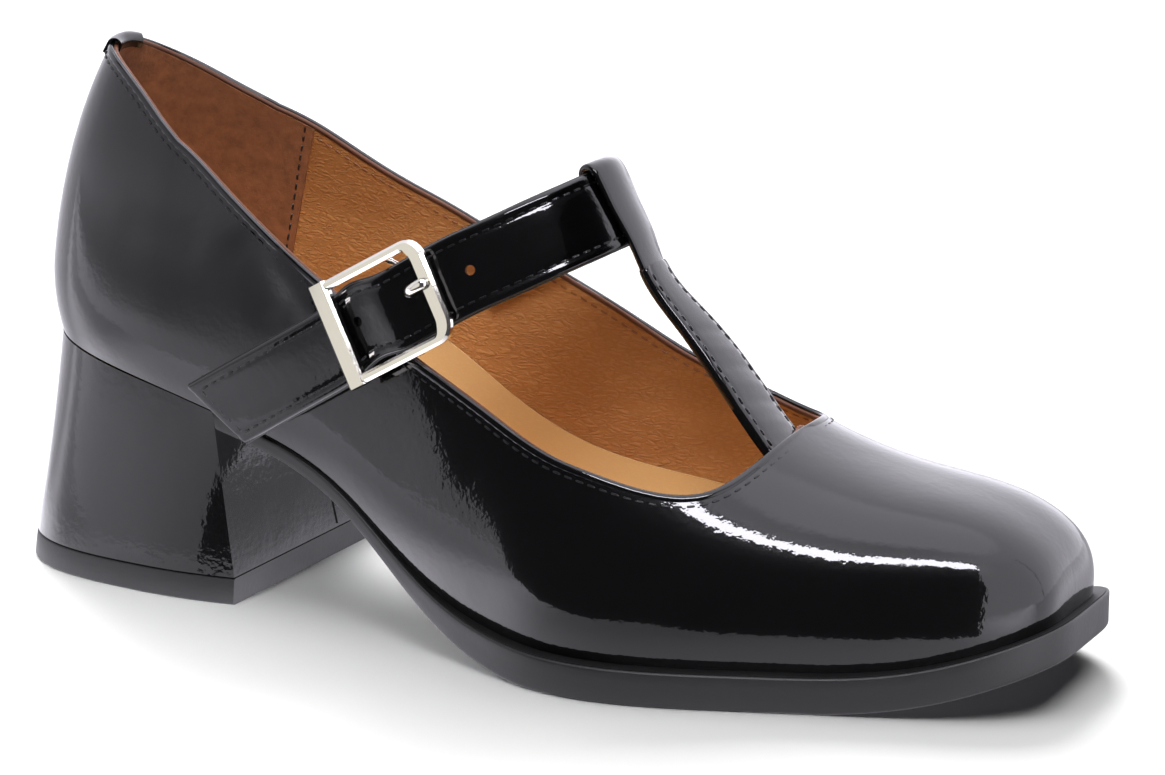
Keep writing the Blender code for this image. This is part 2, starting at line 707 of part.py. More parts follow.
def run_at_y(y):
    """Length along the strap where it crosses the instep at y."""
    at = np.linspace(STRAP_RUN[6], STRAP_RUN[12], 600)
    return at[np.argmin(abs(STRAP_CURVE[1](at) - y))]


def frame_loop(count):
    """Centre line of the buckle's frame along and across the strap: a rectangle with round corners."""
    long, wide = BUCKLE_LONG / 2, BUCKLE_WIDE / 2
    points = []
    for sx, sy, first in ((1, 1, 0), (-1, 1, 90), (-1, -1, 180), (1, -1, 270)):
        radius = BUCKLE_CORNER if sx > 0 else KEEPER_CORNER
        for k in range(count):
            turn = math.radians(first + 90 * k / (count - 1))
            along = sx * (long - radius) + radius * math.cos(turn)
            points.append((along, sy * (wide - radius) + radius * math.sin(turn)))
    return np.array(points)


def build_buckle():
    loop = frame_loop(5)
    count = len(loop)
    along = np.roll(loop, -1, 0) - np.roll(loop, 1, 0)
    along /= np.linalg.norm(along, axis=1)[:, None]
    outward_way = np.stack([along[:, 1], -along[:, 0]], 1)
    points = []
    sides = 8
    for (a, b), way in zip(loop, outward_way):
        keeper = a < -BUCKLE_LONG / 2 + KEEPER_CORNER / 3
        wide = (KEEPER_WIDE if keeper else BUCKLE_WIRE) / 2
        for k in range(sides):
            turn = 2 * math.pi * (k + 0.5) / sides
            side = wide * math.copysign(abs(math.cos(turn)) ** BAR_SQUARE, math.cos(turn))
            lift = BUCKLE_WIRE / 2 * math.copysign(abs(math.sin(turn)) ** BAR_SQUARE, math.sin(turn))
            points.append(buckle_point(a + way[0] * side, b + way[1] * side, FRAME_LIFT + lift))
    faces = []
    for i in range(count):
        n = (i + 1) % count
        for k in range(sides):
            m = (k + 1) % sides
            faces.append((i * sides + k, n * sides + k, n * sides + m, i * sides + m))
    frame = make_object("buckle_frame", np.array(points), faces, metal)
    reach = BUCKLE_WIDE / 2
    bend = ((-reach, FRAME_LIFT), (-reach, -1.0), (-reach + 0.5, -2.6), (-reach + 1.6, PIVOT_DROP),
            (reach - 1.6, PIVOT_DROP), (reach - 0.5, -2.6), (reach, -1.0), (reach, FRAME_LIFT))
    path = [buckle_point(PIVOT_PLACE, b, n) for b, n in bend]
    pivot = make_object("buckle_pivot_bar", *rod(path, PIVOT_RADIUS, 8), metal)
    join_with(frame, pivot, "UNION")
    ring = PIVOT_RADIUS + GAP + PRONG_RADIUS
    start = math.radians(-60)
    curl = [(PIVOT_PLACE - ring * math.sin(turn), PIVOT_DROP + ring * math.cos(turn))
            for turn in np.linspace(math.radians(200), start, 8)]
    rest = FRAME_LIFT + BUCKLE_WIRE / 2 + GAP + PRONG_RADIUS
    through = ((-1.2, -2.9), (-0.5, -1.5), (0.0, 0.0), (0.6, 1.8), (1.6, rest - 1.4), (3.2, rest - 0.2))
    curl += [(PRONG_HOLE + a, n) for a, n in through]
    curl.append((BUCKLE_LONG / 2 + BUCKLE_WIRE / 4, rest))
    path = [buckle_point(a, 0.0, n) for a, n in curl]
    make_object("buckle_prong", *rod(path, PRONG_RADIUS, 8), metal)


def build_buckle_tab():
    middle = run_at(*BUCKLE_AT)
    radius = PIVOT_RADIUS + GAP + TAB_THICK / 2
    flat = PIVOT_DROP - radius
    path = [(TAB_ROOT, TAB_LEVEL), (TAB_ROOT / 2, TAB_LEVEL - 0.2), (PIVOT_PLACE - 4.0, flat + 0.1)]
    for turn in np.linspace(-90, 110, 9):
        path.append((PIVOT_PLACE + radius * math.cos(math.radians(turn)),
                     PIVOT_DROP + radius * math.sin(math.radians(turn))))
    path = np.array(path)
    ahead = np.gradient(path, axis=0)
    ahead /= np.linalg.norm(ahead, axis=1)[:, None]
    normal = np.stack([-ahead[:, 1], ahead[:, 0]], 1)
    across = np.linspace(-TAB_WIDTH / 2, TAB_WIDTH / 2, 4)
    # The hook follows the flat buckle, and the rest bends with the quarter under the strap.
    hooked = np.clip((path[:, 0] - TAB_ROOT / 2) / (PIVOT_PLACE - TAB_ROOT / 2) * 2, 0, 1)
    grids = []
    for sign in (1, -1):
        line = path + normal * sign * TAB_THICK / 2
        grid = np.empty((len(line), len(across), 3))
        for k, b in enumerate(across):
            bent = strap_point(middle + line[:, 0], np.full(len(line), b + BUCKLE_ACROSS), line[:, 1])
            flat_grid = np.array([buckle_point(a, b, n) for a, n in line])
            grid[:, k] = bent + (flat_grid - bent) * hooked[:, None]
        grids.append(grid)
    tab = make_object("buckle_tab", *sheet(*grids), patent)
    # A slot lets the prong reach the pivot bar.
    eye = PIVOT_RADIUS + 2 * PRONG_RADIUS + 2 * GAP
    cutter = make_object("prong_slot", *slot_box(PRONG_RADIUS + GAP, eye), metal)
    join_with(tab, cutter, "DIFFERENCE")


def slot_box(room, reach):
    """Box round the prong's eye, in the buckle's own directions."""
    points = []
    for a in (PIVOT_PLACE - reach, PIVOT_PLACE + reach):
        for b in (-room, room):
            for n in (PIVOT_DROP - reach, PIVOT_DROP + reach):
                points.append(buckle_point(a, b, n))
    faces = [(0, 1, 3, 2), (4, 6, 7, 5), (0, 4, 5, 1), (2, 3, 7, 6), (0, 2, 6, 4), (1, 5, 7, 3)]
    return np.array(points), faces


def build_back_tab():
    reach = np.linspace(0, BACK_TAB_REACH, 5)
    walls = []
    for side, places in (("medial", reach[:0:-1]), ("lateral", reach)):
        stations, tops = topline(side, 160)
        for place in places:
            top = float(np.interp(place, stations, tops))
            head, low = profile(place, side, [top, top - 0.05])
            walls.append((head, head - low))
    heads = np.array([w[0] for w in walls])
    up = np.array([w[1] for w in walls])
    up /= np.linalg.norm(up, axis=1)[:, None]
    along = np.gradient(heads, axis=0)
    out = np.cross(along, up)
    out /= np.linalg.norm(out, axis=1)[:, None]
    out *= np.sign(-out[len(out) // 2, 0])
    grids = []
    for grow in (TAB_THICK, 0.0):
        far, lift = GAP + grow, GAP + grow
        deep = WALL + GAP + grow
        path = ((far, -BACK_TAB_DROP), (far, -BACK_TAB_DROP / 2), (far, 0.0), (far * 0.6, lift * 0.8),
                (-WALL / 2, lift), (-deep + far * 0.4, lift * 0.8), (-deep, 0.0), (-deep, -BACK_TAB_INSIDE))
        grids.append(np.stack([heads + out * n + up * v for n, v in path], 1))
    make_object("back_tab", *sheet(*grids), patent)


shoe = bpy.data.objects.new("shoe", None)
shoe.location = (-LAYOUT_CENTRE[0] * MM, -LAYOUT_CENTRE[1] * MM, 0)
bpy.context.scene.collection.objects.link(shoe)

patent = make_material("patent_leather", (0.008, 0.008, 0.009), 0.12, 0.0)
sock_leather = make_material("sock_leather", (0.55, 0.27, 0.09), 0.6, 0.0)
edge_rubber = make_material("edge_rubber", (0.02, 0.02, 0.021), 0.55, 0.0)
lift_rubber = make_material("lift_rubber", (0.018, 0.018, 0.019), 0.6, 0.0)
metal = make_material("polished_nickel", (0.72, 0.70, 0.67), 0.18, 1.0)

build_upper()
build_outsole()
build_heel()
build_top_lift()
build_insole()
build_ankle_strap()
build_t_strap()
build_buckle()
build_buckle_tab()
build_back_tab()
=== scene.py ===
import json
import math
from collections import namedtuple

import bpy
import numpy as np
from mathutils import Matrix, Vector

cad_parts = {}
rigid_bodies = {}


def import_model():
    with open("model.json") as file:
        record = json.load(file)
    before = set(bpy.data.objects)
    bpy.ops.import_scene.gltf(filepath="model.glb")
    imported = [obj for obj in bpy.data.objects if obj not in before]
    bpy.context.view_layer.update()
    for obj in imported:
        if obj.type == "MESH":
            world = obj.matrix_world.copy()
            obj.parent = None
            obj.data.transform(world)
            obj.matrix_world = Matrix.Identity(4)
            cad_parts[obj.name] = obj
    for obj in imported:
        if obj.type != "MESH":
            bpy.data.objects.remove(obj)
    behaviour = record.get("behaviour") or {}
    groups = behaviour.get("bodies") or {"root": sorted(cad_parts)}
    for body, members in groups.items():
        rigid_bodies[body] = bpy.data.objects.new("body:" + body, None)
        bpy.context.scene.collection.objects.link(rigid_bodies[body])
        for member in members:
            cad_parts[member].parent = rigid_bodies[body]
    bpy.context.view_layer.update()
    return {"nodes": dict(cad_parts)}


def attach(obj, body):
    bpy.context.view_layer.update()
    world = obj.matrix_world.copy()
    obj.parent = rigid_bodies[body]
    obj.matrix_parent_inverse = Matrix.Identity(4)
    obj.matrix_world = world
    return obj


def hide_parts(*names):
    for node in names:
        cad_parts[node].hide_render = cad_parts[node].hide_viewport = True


# Looks of a right-foot strap shoe in black patent leather, with a tan lining, a matte black sole
# edge and a polished buckle. Sizes are millimetres in the shoe's own layout, as in its solids:
# x from the heel's back to the toe, y from the outer (negative) to the inner side, z up.

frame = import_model()

# Sizes shared with the solids
MM = 0.001
LAYOUT_CENTRE = (125.35, 0.3)
WALL = 1.8
GAP = 0.3
FAN_X = 45.0
FAN_BACK = 45.0
FAN_ROUND = 2.2
FAN_PINCH = 0.15
BACK_CROWN = 140.0
TUCK_HEIGHT = 17.0
TOE_TIP = 248.0
PLAN_CAP_START = 200.0
PLAN_CAP_POWER = 5.0
CROWN_CAP_START = 205.0
CROWN_CAP_POWER = 3.0
TIP_BULGE = 0.4
TIP_BULGE_POWER = 6
TOE_TURN = 215.0
TOE_TURN_POWER = 0.8
THROAT = 187.5
INSOLE_THICK = 2.4
HEEL_BREAST = 57.5
TOP_LIFT_THICK = 6.0
STRAP_WIDTH = 17.5
STRAP_THICK = 2.0
T_WIDTH_TOP = 12.5
T_WIDTH_THROAT = 14.0
T_NECK = 0.30
T_NECK_AT = 61.0
T_NECK_HALF = 15.0
T_THICK = 1.6
T_CENTRE_Y = 1.5
BUCKLE_AT = (108.2, 74.0)
BUCKLE_ACROSS = 1.0
BUCKLE_TURN = -4.0
BUCKLE_LONG = 26.6
BUCKLE_WIDE = 21.6
BUCKLE_CORNER = 4.0
KEEPER_WIDE = 4.4
FRAME_LIFT = 2.7
PIVOT_RADIUS = 0.8
PIVOT_PLACE = 2.5
PIVOT_DROP = -4.7
PRONG_HOLE = 7.0
BACK_TAB_THICK = 0.65
BACK_TAB_REACH = 5.5
BACK_TAB_DROP = 2.8
BACK_TAB_INSIDE = 1.2

LAST_COLUMNS = ("x", "lateral", "medial", "ridge", "crown", "square", "tuck", "swing")
LAST = (
    (45, -29.5, 29.0, 0.0, 124.0, 2.00, 2.4, 0.00),
    (65, -29.5, 26.5, 0.0, 130.0, 2.00, 2.2, 0.00),
    (85, -30.2, 22.5, 0.0, 133.0, 2.00, 2.0, 0.00),
    (105, -32.6, 21.5, 0.3, 134.0, 2.00, 2.0, 0.00),
    (120, -35.4, 23.0, 1.0, 125.0, 2.00, 2.0, 0.00),
    (135, -38.8, 26.0, 2.0, 103.5, 2.00, 2.0, 0.00),
    (150, -42.2, 31.0, 3.2, 81.0, 2.00, 2.0, 0.00),
    (165, -41.2, 36.0, 4.8, 66.5, 2.10, 2.0, 0.01),
    (180, -36.2, 40.2, 7.0, 55.0, 2.25, 2.0, 0.02),
    (195, -29.6, 42.2, 9.5, 47.6, 2.40, 2.0, 0.03),
    (212, -21.8, 42.6, 12.0, 43.2, 2.60, 1.6, 0.045),
    (230, -13.8, 41.4, 14.0, 42.0, 2.80, 1.2, 0.06),
    (248, -5.6, 38.6, 15.0, 41.6, 3.00, 0.8, 0.07),
)
FEATHER = (
    (-10, 53.4), (5, 52.3), (25, 50.0), (45, 46.4), (57, 43.6), (70, 40.6), (82, 36.6),
    (93, 30.8), (104, 22.9), (115, 15.8), (127, 10.9), (140, 8.7), (155, 8.1), (175, 8.0),
    (195, 8.1), (215, 8.8), (232, 12.0), (250, 18.6), (262, 24.0),
)
TOPLINE = {
    "lateral": (
        (0, 118.5), (12, 116.8), (22, 112.6), (32, 108.0), (45, 102.1), (60, 93.2), (76, 83.0),
        (95, 72.8), (118, 62.2), (140, 52.8), (158, 46.8), (170, 43.8), (180, 43.6),
    ),
    "medial": (
        (0, 118.5), (12, 114.6), (22, 110.0), (33, 105.8), (45, 102.1), (64, 94.4), (87, 86.6),
        (105, 79.7), (125, 71.0), (145, 60.9), (162, 54.0), (174, 50.0), (182, 48.8),
    ),
}
SIDE = {"lateral": -1.0, "medial": 1.0}
SOLE_COLUMNS = ("x", "ledge", "thick")
SOLE = (
    (58, 0.5, 3.6), (85, 0.7, 3.6), (105, 1.1, 4.4), (122, 2.2, 6.2), (140, 3.2, 7.6),
    (160, 3.5, 8.0), (190, 3.5, 8.0), (250, 3.5, 8.0),
)
HEEL_FOOT_X = 40.0
HEEL_FOOT_BACK = 40.6
HEEL_FOOT_HALF = 33.0
HEEL_FOOT_ROUND = 3.0
HEEL_FOOT_BREAST = 64.3
HEEL_FOOT_CORNER = 30.0
HEEL_FLARE_PER_MM = 0.12
STRAP = (
    (61.6, -31.0, 44.4, 0.00),
    (76.7, -31.4, 53.9, 0.05),
    (91.7, -31.3, 63.3, 0.09),
    (106.8, -31.1, 73.0, 0.12),
    (121.0, -28.0, 82.7, 0.14),
    (130.7, -22.5, 88.0, 0.13),
    (137.6, -17.0, 91.8, 0.10),
    (142.0, -11.0, 94.1, 0.06),
    (144.4, -5.0, 95.4, 0.03),
    (145.2, 1.0, 95.8, 0.00),
    (143.8, 6.5, 95.0, -0.03),
    (140.8, 11.0, 93.5, -0.06),
    (135.5, 14.2, 90.6, -0.09),
    (128.5, 15.7, 86.9, -0.10),
    (117.9, 15.4, 81.2, -0.11),
    (108.2, 15.4, 76.1, -0.11),
    (99.4, 15.6, 71.4, -0.10),
)
STRAP_UPRIGHT = (-0.47, 0.88)
STRAP_END_SLANT = 7.5
STRAP_END_FADE = 30.0
T_BAR = (
    (200.0, 41.6), (194.0, 43.6), (188.5, 46.2), (184.0, 50.2), (176.0, 59.4), (164.0, 72.2), (154.5, 81.9),
)
T_ARCH_RADIUS = 22.0
T_LOOP_CLEAR = 0.5

# Sizes of the finish
SKIN = 1.0
LINING_SKIP = 0.06
STITCH_INSET = 2.3
STITCH_PITCH = 2.7
STITCH_LONG = 2.0
STITCH_RADIUS = 0.26
STITCH_SIDES = 6
# Form of a stitch: place along it, lift and thickness, as shares of its length and radius
STITCH_FORM = (
    (-0.50, -0.9, 0.45), (-0.32, 0.15, 0.95), (0.0, 0.35, 1.0), (0.32, 0.15, 0.95), (0.50, -0.9, 0.45),
)
# Length along the collar that a radian of a section's angle counts for
ANGLE_LENGTH = 30.0
# Steps of that angle down the wall from the collar, which show the way down
COLLAR_STEP = 0.02
TAB_STEP = 0.05


# Curves and the form of the last

def unit(vectors):
    """Vectors at length one."""
    return vectors / np.linalg.norm(vectors, axis=-1, keepdims=True)


def square_to(vectors, ways):
    """Vectors leaned square to ways, at length one."""
    return unit(vectors - ways * (vectors * ways).sum(-1, keepdims=True))


def lengths(points):
    """Length along a line of points, from 0 at its first."""
    return np.concatenate([[0], np.cumsum(np.linalg.norm(np.diff(points, axis=0), axis=1))])


def spline(xs, ys):
    """Natural cubic curve through points, carried on straight past its ends."""
    xs = np.asarray(xs, float)
    ys = np.asarray(ys, float)
    count = len(xs)
    step = np.diff(xs)
    matrix = np.eye(count)
    right = np.zeros(count)
    for i in range(1, count - 1):
        matrix[i, i - 1:i + 2] = step[i - 1], 2 * (step[i - 1] + step[i]), step[i]
        right[i] = 6 * ((ys[i + 1] - ys[i]) / step[i] - (ys[i] - ys[i - 1]) / step[i - 1])
    bend = np.linalg.solve(matrix, right)
    low_slope = (ys[1] - ys[0]) / step[0] - step[0] * bend[1] / 6
    high_slope = (ys[-1] - ys[-2]) / step[-1] + step[-1] * bend[-2] / 6

    def at(x):
        x = np.asarray(x, float)
        i = np.clip(np.searchsorted(xs, x) - 1, 0, count - 2)
        h = step[i]
        a = (xs[i + 1] - x) / h
        b = (x - xs[i]) / h
        bow = ((a**3 - a) * bend[i] + (b**3 - b) * bend[i + 1]) * h * h / 6
        inside = a * ys[i] + b * ys[i + 1] + bow
        low = ys[0] + (x - xs[0]) * low_slope
        high = ys[-1] + (x - xs[-1]) * high_slope
        return np.where(x < xs[0], low, np.where(x > xs[-1], high, inside))

    return at


def columns(names, rows):
    """One curve over the first column for each other named column."""
    across = [row[0] for row in rows]
    return {name: spline(across, [row[i] for row in rows]) for i, name in enumerate(names) if i}


# A mirrored row behind the first keeps the curves level where the heel's fan begins.
LAST_CURVE = columns(LAST_COLUMNS, ((2 * FAN_X - LAST[1][0], *LAST[1][1:]), *LAST))
SOLE_CURVE = columns(SOLE_COLUMNS, SOLE)
feather_z = spline(*zip(*FEATHER))


def smooth(x):
    """Smooth step from 0 to 1."""
    x = np.clip(x, 0, 1)
    return x * x * (3 - 2 * x)


def cap(x, start, power):
    """Share of a size left towards the toe's tip, from 1 at start to 0 at the tip."""
    along = min(1.0, max(0.0, (x - start) / (TOE_TIP - start)))
    return (1 - along**power) ** (1 / power)


Section = namedtuple("Section", "start way reach base height square tuck bulge pinch")


def section(station, side):
    """One side of a section of the last: where it starts, which way it goes and its sizes."""
    turn = SIDE[side]
    at = max(station, FAN_X)
    size = {name: float(curve(at)) for name, curve in LAST_CURVE.items()}
    full = abs(size[side] - size["ridge"])
    pinch = 0.0
    if station < FAN_X:
        angle = math.radians(90 * (1 - station / FAN_X))
        back, out = math.sin(angle), math.cos(angle)
        reach = ((back / FAN_BACK) ** FAN_ROUND + (out / full) ** FAN_ROUND) ** (-1 / FAN_ROUND)
        start = (FAN_X, 0.0)
        way = (-back, turn * out)
        crown = size["crown"] + (BACK_CROWN - size["crown"]) * back**2
        pinch = FAN_PINCH * (2 * back * out) ** 2
        full = reach
    else:
        reach = full * cap(station, PLAN_CAP_START, PLAN_CAP_POWER)
        start = (station, size["ridge"])
        way = (-size["swing"] * turn, turn)
        crown = size["crown"]
    middle = float(feather_z(start[0]))
    base = float(feather_z(start[0] + way[0] * reach))
    height = middle + (crown - middle) * cap(station, CROWN_CAP_START, CROWN_CAP_POWER) - base
    along = max(0.0, (station - CROWN_CAP_START) / (TOE_TIP - CROWN_CAP_START))
    bulge = TIP_BULGE * along**TIP_BULGE_POWER
    tuck = size["tuck"] / full
    return Section(start, way, reach, base, height, size["square"], tuck, bulge, pinch)


def profile(station, side, angles):
    """Points of the last on one side of a section, from the feather line (0) to the ridge (pi/2)."""
    wall = section(station, side)
    angles = np.asarray(angles, float)
    up = wall.height * np.clip(np.sin(angles), 0, 1) ** (2 / wall.square)
    low = np.clip(1 - up / TUCK_HEIGHT, 0, 1) ** 2
    out = wall.reach * np.clip(np.cos(angles), 0, 1) ** (2 / wall.square) * (1 - wall.tuck * low)
    if wall.pinch:
        out *= 1 - wall.pinch * (up / wall.height) ** 2
    x = wall.start[0] + wall.way[0] * out + wall.bulge * (1 - low)
    y = wall.start[1] + wall.way[1] * out
    return np.stack([x, y, wall.base + up], 1)


def even_profile(station, side, top, rows):
    """The section's points from the feather line to the top angle, evenly spread along the wall."""
    angles = top * np.linspace(0, 1, 400) ** 1.5
    run = lengths(profile(station, side, angles))
    return profile(station, side, np.interp(np.linspace(0, run[-1], rows), run, angles))


def top_angle(station, side, z):
    """The angle on a section at which it reaches the height z."""
    wall = section(station, side)
    return math.asin(min(1.0, max(0.0, (z - wall.base) / wall.height)) ** (wall.square / 2))


def at_height(station, side, rise):
    """The point of a section at a rise over its feather line."""
    base = section(station, side).base
    return profile(station, side, [top_angle(station, side, base + rise)])[0]


def topline(side, count):
    """Stations and top angles along the collar, from the back seam to the middle of the throat."""
    rows = np.array([(station, top_angle(station, side, z)) for station, z in TOPLINE[side]])
    # Mirrored rows at both ends carry the curve smoothly across the back seam and the ridge.
    behind = rows[:0:-1] * (-1, 1)
    beyond = rows[::-1] * (1, -1) + (0, math.pi)
    rows = np.concatenate([behind, rows, [(THROAT, math.pi / 2)], beyond])
    run = lengths(rows * (1, ANGLE_LENGTH))
    at = np.linspace(run[len(behind)], run[-len(beyond) - 1], count)
    return np.clip(spline(run, rows[:, 0])(at), 0, THROAT), spline(run, rows[:, 1])(at)


def toe_stations(start, count):
    """Stations from start to the tip, closer together towards the tip."""
    turn = np.linspace(0, math.pi / 2, count)
    return start + (TOE_TIP - start) * np.sin(turn) ** TOE_TURN_POWER


def feather_loop(stations):
    """Feather line along stations on the outer side and back along the inner side."""
    outer = [profile(station, "lateral", [0.0])[0] for station in stations]
    inner = [profile(station, "medial", [0.0])[0] for station in stations[-2::-1]]
    return np.array(outer + inner)


def feather_ring(first, count):
    """Feather line from a station on the outer side round the toe to the inner side."""
    toe = toe_stations(TOE_TURN, count // 2)[1:]
    return feather_loop(np.concatenate([np.linspace(first, TOE_TURN, count), toe]))


def seat_ring(count):
    """Feather line round the heel, from the outer breast corner to the inner one."""
    breast = np.linspace(HEEL_BREAST, FAN_X, count // 4)[:-1]
    return feather_loop(np.concatenate([breast, np.linspace(FAN_X, 0, count)]))


def outward(ring):
    """Plan normals of an open ring that runs from the outer side round to the inner side."""
    along = np.gradient(ring[:, :2], axis=0)
    return unit(np.stack([along[:, 1], -along[:, 0]], 1))


# Straps and buckle directions

STRAP_ROWS = np.array(STRAP, float)
STRAP_RUN = lengths(STRAP_ROWS[:, :3])
STRAP_CURVE = [spline(STRAP_RUN, STRAP_ROWS[:, k]) for k in range(4)]


def line_at(curves, at, step):
    """Points of a line at lengths along it and the way ahead there, from points a step before and after."""
    line, before, after = (np.stack([curve(at + k) for curve in curves], 1) for k in (0, -step, step))
    return line, unit(after - before)


def frames_at(at):
    """Centre, way ahead, way across and way out of the ankle strap at lengths along it."""
    centre, ahead = line_at(STRAP_CURVE[:3], at, 0.5)
    up_x, up_z = (np.full(len(at), share) for share in STRAP_UPRIGHT)
    wide = square_to(np.stack([up_x, STRAP_CURVE[3](at), up_z], 1), ahead)
    return centre, ahead, wide, np.cross(ahead, wide)


def frame_at(run):
    """Centre and ways of the ankle strap at one length along it."""
    return (way[0] for way in frames_at(np.array([run])))


def run_near(measure, first, last):
    """Length along the strap, between two rows, at which a measure of its points is least."""
    at = np.linspace(STRAP_RUN[first], STRAP_RUN[last], 1200)
    return at[np.argmin(measure(*(curve(at) for curve in STRAP_CURVE[:3])))]


BUCKLE_RUN = run_near(lambda x, y, z: (x - BUCKLE_AT[0]) ** 2 + (z - BUCKLE_AT[1]) ** 2, 0, 8)
T_RUN = run_near(lambda x, y, z: abs(y - T_CENTRE_Y), 6, 12)


def strap_point(along, across, out):
    """Points by their place along the strap, across its width and out from its middle."""
    along, across, out = np.broadcast_arrays(np.asarray(along, float), across, out)
    centre, _, wide, normal = frames_at(along.ravel())
    points = centre + wide * across.reshape(-1, 1) + normal * out.reshape(-1, 1)
    return points.reshape(along.shape + (3,))


def buckle_point(along, across, out):
    """Points in the buckle's flat frame: along and across it, and out from the strap's middle."""
    centre, ahead, wide, normal = frame_at(BUCKLE_RUN)
    turn = math.radians(BUCKLE_TURN)
    long_way = ahead * math.cos(turn) + wide * math.sin(turn)
    wide_way = wide * math.cos(turn) - ahead * math.sin(turn)
    place = np.stack(np.broadcast_arrays(np.asarray(along, float), across, out), -1)
    return centre + wide * BUCKLE_ACROSS + place @ np.stack([long_way, wide_way, normal])


# Meshes

def placed(points):
    """Places in the scene of points in millimetres."""
    return (np.asarray(points, float) - (*LAYOUT_CENTRE, 0.0)) * MM


def mesh_thing(name, points, faces, material):
    """A smooth mesh in the scene, from points in millimetres."""
    mesh = bpy.data.meshes.new(name)
    mesh.from_pydata(placed(points).tolist(), [], [tuple(map(int, face)) for face in faces])
    mesh.validate()
    mesh.shade_smooth()
    mesh.materials.append(material)
    thing = bpy.data.objects.new(name, mesh)
    bpy.context.scene.collection.objects.link(thing)
    return thing


def piece(name, points, faces, material, slot, nodes=(), sharp=40):
    """A piece of the shoe that stands for the CAD nodes named."""
    thing = mesh_thing(name, points, faces, material)
    thing.data.set_sharp_from_angle(angle=math.radians(sharp))
    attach(thing, "root")
    if nodes:
        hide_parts(*nodes)
    return thing


def grid_faces(rows, cols, first=0, flip=False, close_cols=False):
    """Quads of a grid of points, row by row. With close_cols each row is a ring."""
    wrap = cols if close_cols else cols - 1
    r, c = np.meshgrid(np.arange(rows - 1), np.arange(wrap), indexing="ij")
    n = (c + 1) % cols
    quads = np.stack([r * cols + c, (r + 1) * cols + c, (r + 1) * cols + n, r * cols + n], -1).reshape(-1, 4)
    if flip:
        quads = quads[:, ::-1]
    return (quads + first).tolist()


def swept(loops):
    """Closed solid from rings of points, one after another, with flat ends."""
    rows, cols = loops.shape[:2]
    faces = grid_faces(rows, cols, close_cols=True)
    faces.append(list(range(cols)))
    faces.append([(rows - 1) * cols + k for k in reversed(range(cols))])
    return loops.reshape(-1, 3), faces


def ring_round(sections):
    """Closed ring from sections that follow one another all the way round."""
    loops = np.concatenate([sections, sections[:1]])
    return loops.reshape(-1, 3), grid_faces(*loops.shape[:2], close_cols=True)


def slab(outer, inner):
    """Closed solid between two grids."""
    rows, cols = outer.shape[:2]
    size = rows * cols
    place = np.arange(size).reshape(rows, cols)
    border = [*place[:, 0], *place[-1, 1:], *place[-2::-1, -1], *place[0, -2:0:-1]]
    faces = grid_faces(rows, cols) + grid_faces(rows, cols, size, flip=True)
    faces += [(b, a, size + a, size + b) for a, b in zip(border, border[1:] + border[:1])]
    return np.concatenate([outer.reshape(-1, 3), inner.reshape(-1, 3)]), faces


def vertex_normals(points, faces):
    """Normals of the points of a mesh of triangles and quads."""
    normals = np.zeros_like(points)
    for size in (3, 4):
        chosen = np.array([face for face in faces if len(face) == size])
        corner = points[chosen]
        area = np.cross(corner[:, 2] - corner[:, 0], corner[:, -1] - corner[:, 1])
        for k in range(size):
            np.add.at(normals, chosen[:, k], area)
    return unit(normals)


def rod(path, radius, sides, round_end=False):
    """Closed tube along a path of points, with a rounded far end if asked."""
    path = np.asarray(path, float)
    radii = np.full(len(path), float(radius))
    if round_end:
        way = unit(path[-1] - path[-2])
        turns = np.radians([25, 50, 70, 84])
        path = np.concatenate([path, [path[-1] + way * radius * math.sin(t) for t in turns]])
        radii = np.concatenate([radii, radius * np.cos(turns)])
    along = unit(np.gradient(path, axis=0))
    across = np.cross(along[0], (0.0, 0.0, 1.0))
    turn = np.linspace(0, 2 * math.pi, sides, endpoint=False)[::-1, None]
    loops = []
    for centre, way, size in zip(path, along, radii):
        across = square_to(across, way)
        loops.append(centre + size * (np.cos(turn) * across + np.sin(turn) * np.cross(way, across)))
    return swept(np.array(loops))


def cut(target, points, faces, operation):
    """Boolean of a closed shape on a piece, applied at once."""
    helper = mesh_thing("helper", points, faces, target.data.materials[0])
    change = target.modifiers.new("change", "BOOLEAN")
    change.operation = operation
    change.solver = "EXACT"
    change.object = helper
    bpy.context.view_layer.update()
    done = bpy.data.meshes.new_from_object(target.evaluated_get(bpy.context.evaluated_depsgraph_get()))
    target.modifiers.clear()
    target.data = done
    bpy.data.objects.remove(helper)
    done.set_sharp_from_angle(angle=math.radians(40))


def stitch_row(points, normals):
    """Points and faces of a row of thread stitches along a line on a surface."""
    run = lengths(points)
    count = max(1, int(run[-1] / STITCH_PITCH))
    middle = (np.arange(count) + 0.5) * run[-1] / count

    def along(at, values):
        return np.stack([np.interp(at, run, values[:, k]) for k in range(3)], 1)

    half = STITCH_LONG / 2
    ahead = unit(along(middle + half, points) - along(middle - half, points))
    normal = square_to(along(middle, normals), ahead)
    ways = np.stack([ahead, np.cross(ahead, normal), normal], 1)
    form = []
    for forward, lift, size in STITCH_FORM:
        for k in range(STITCH_SIDES):
            turn = -2 * math.pi * k / STITCH_SIDES
            form.append((forward * STITCH_LONG, size * math.cos(turn) * STITCH_RADIUS,
                         (lift + size * math.sin(turn)) * STITCH_RADIUS))
    form = np.array(form)
    shape = along(middle, points)[:, None] + form @ ways
    one = swept(form.reshape(len(STITCH_FORM), STITCH_SIDES, 3))[1]
    faces = [[i * len(form) + k for k in face] for i in range(count) for face in one]
    return shape.reshape(-1, 3), faces


def sewn(surface, along, across, out):
    """A stitch row on a surface that is given by places along, across and out."""
    points = surface(along, across, out)
    return stitch_row(points, surface(along, across, out + 1.0) - points)


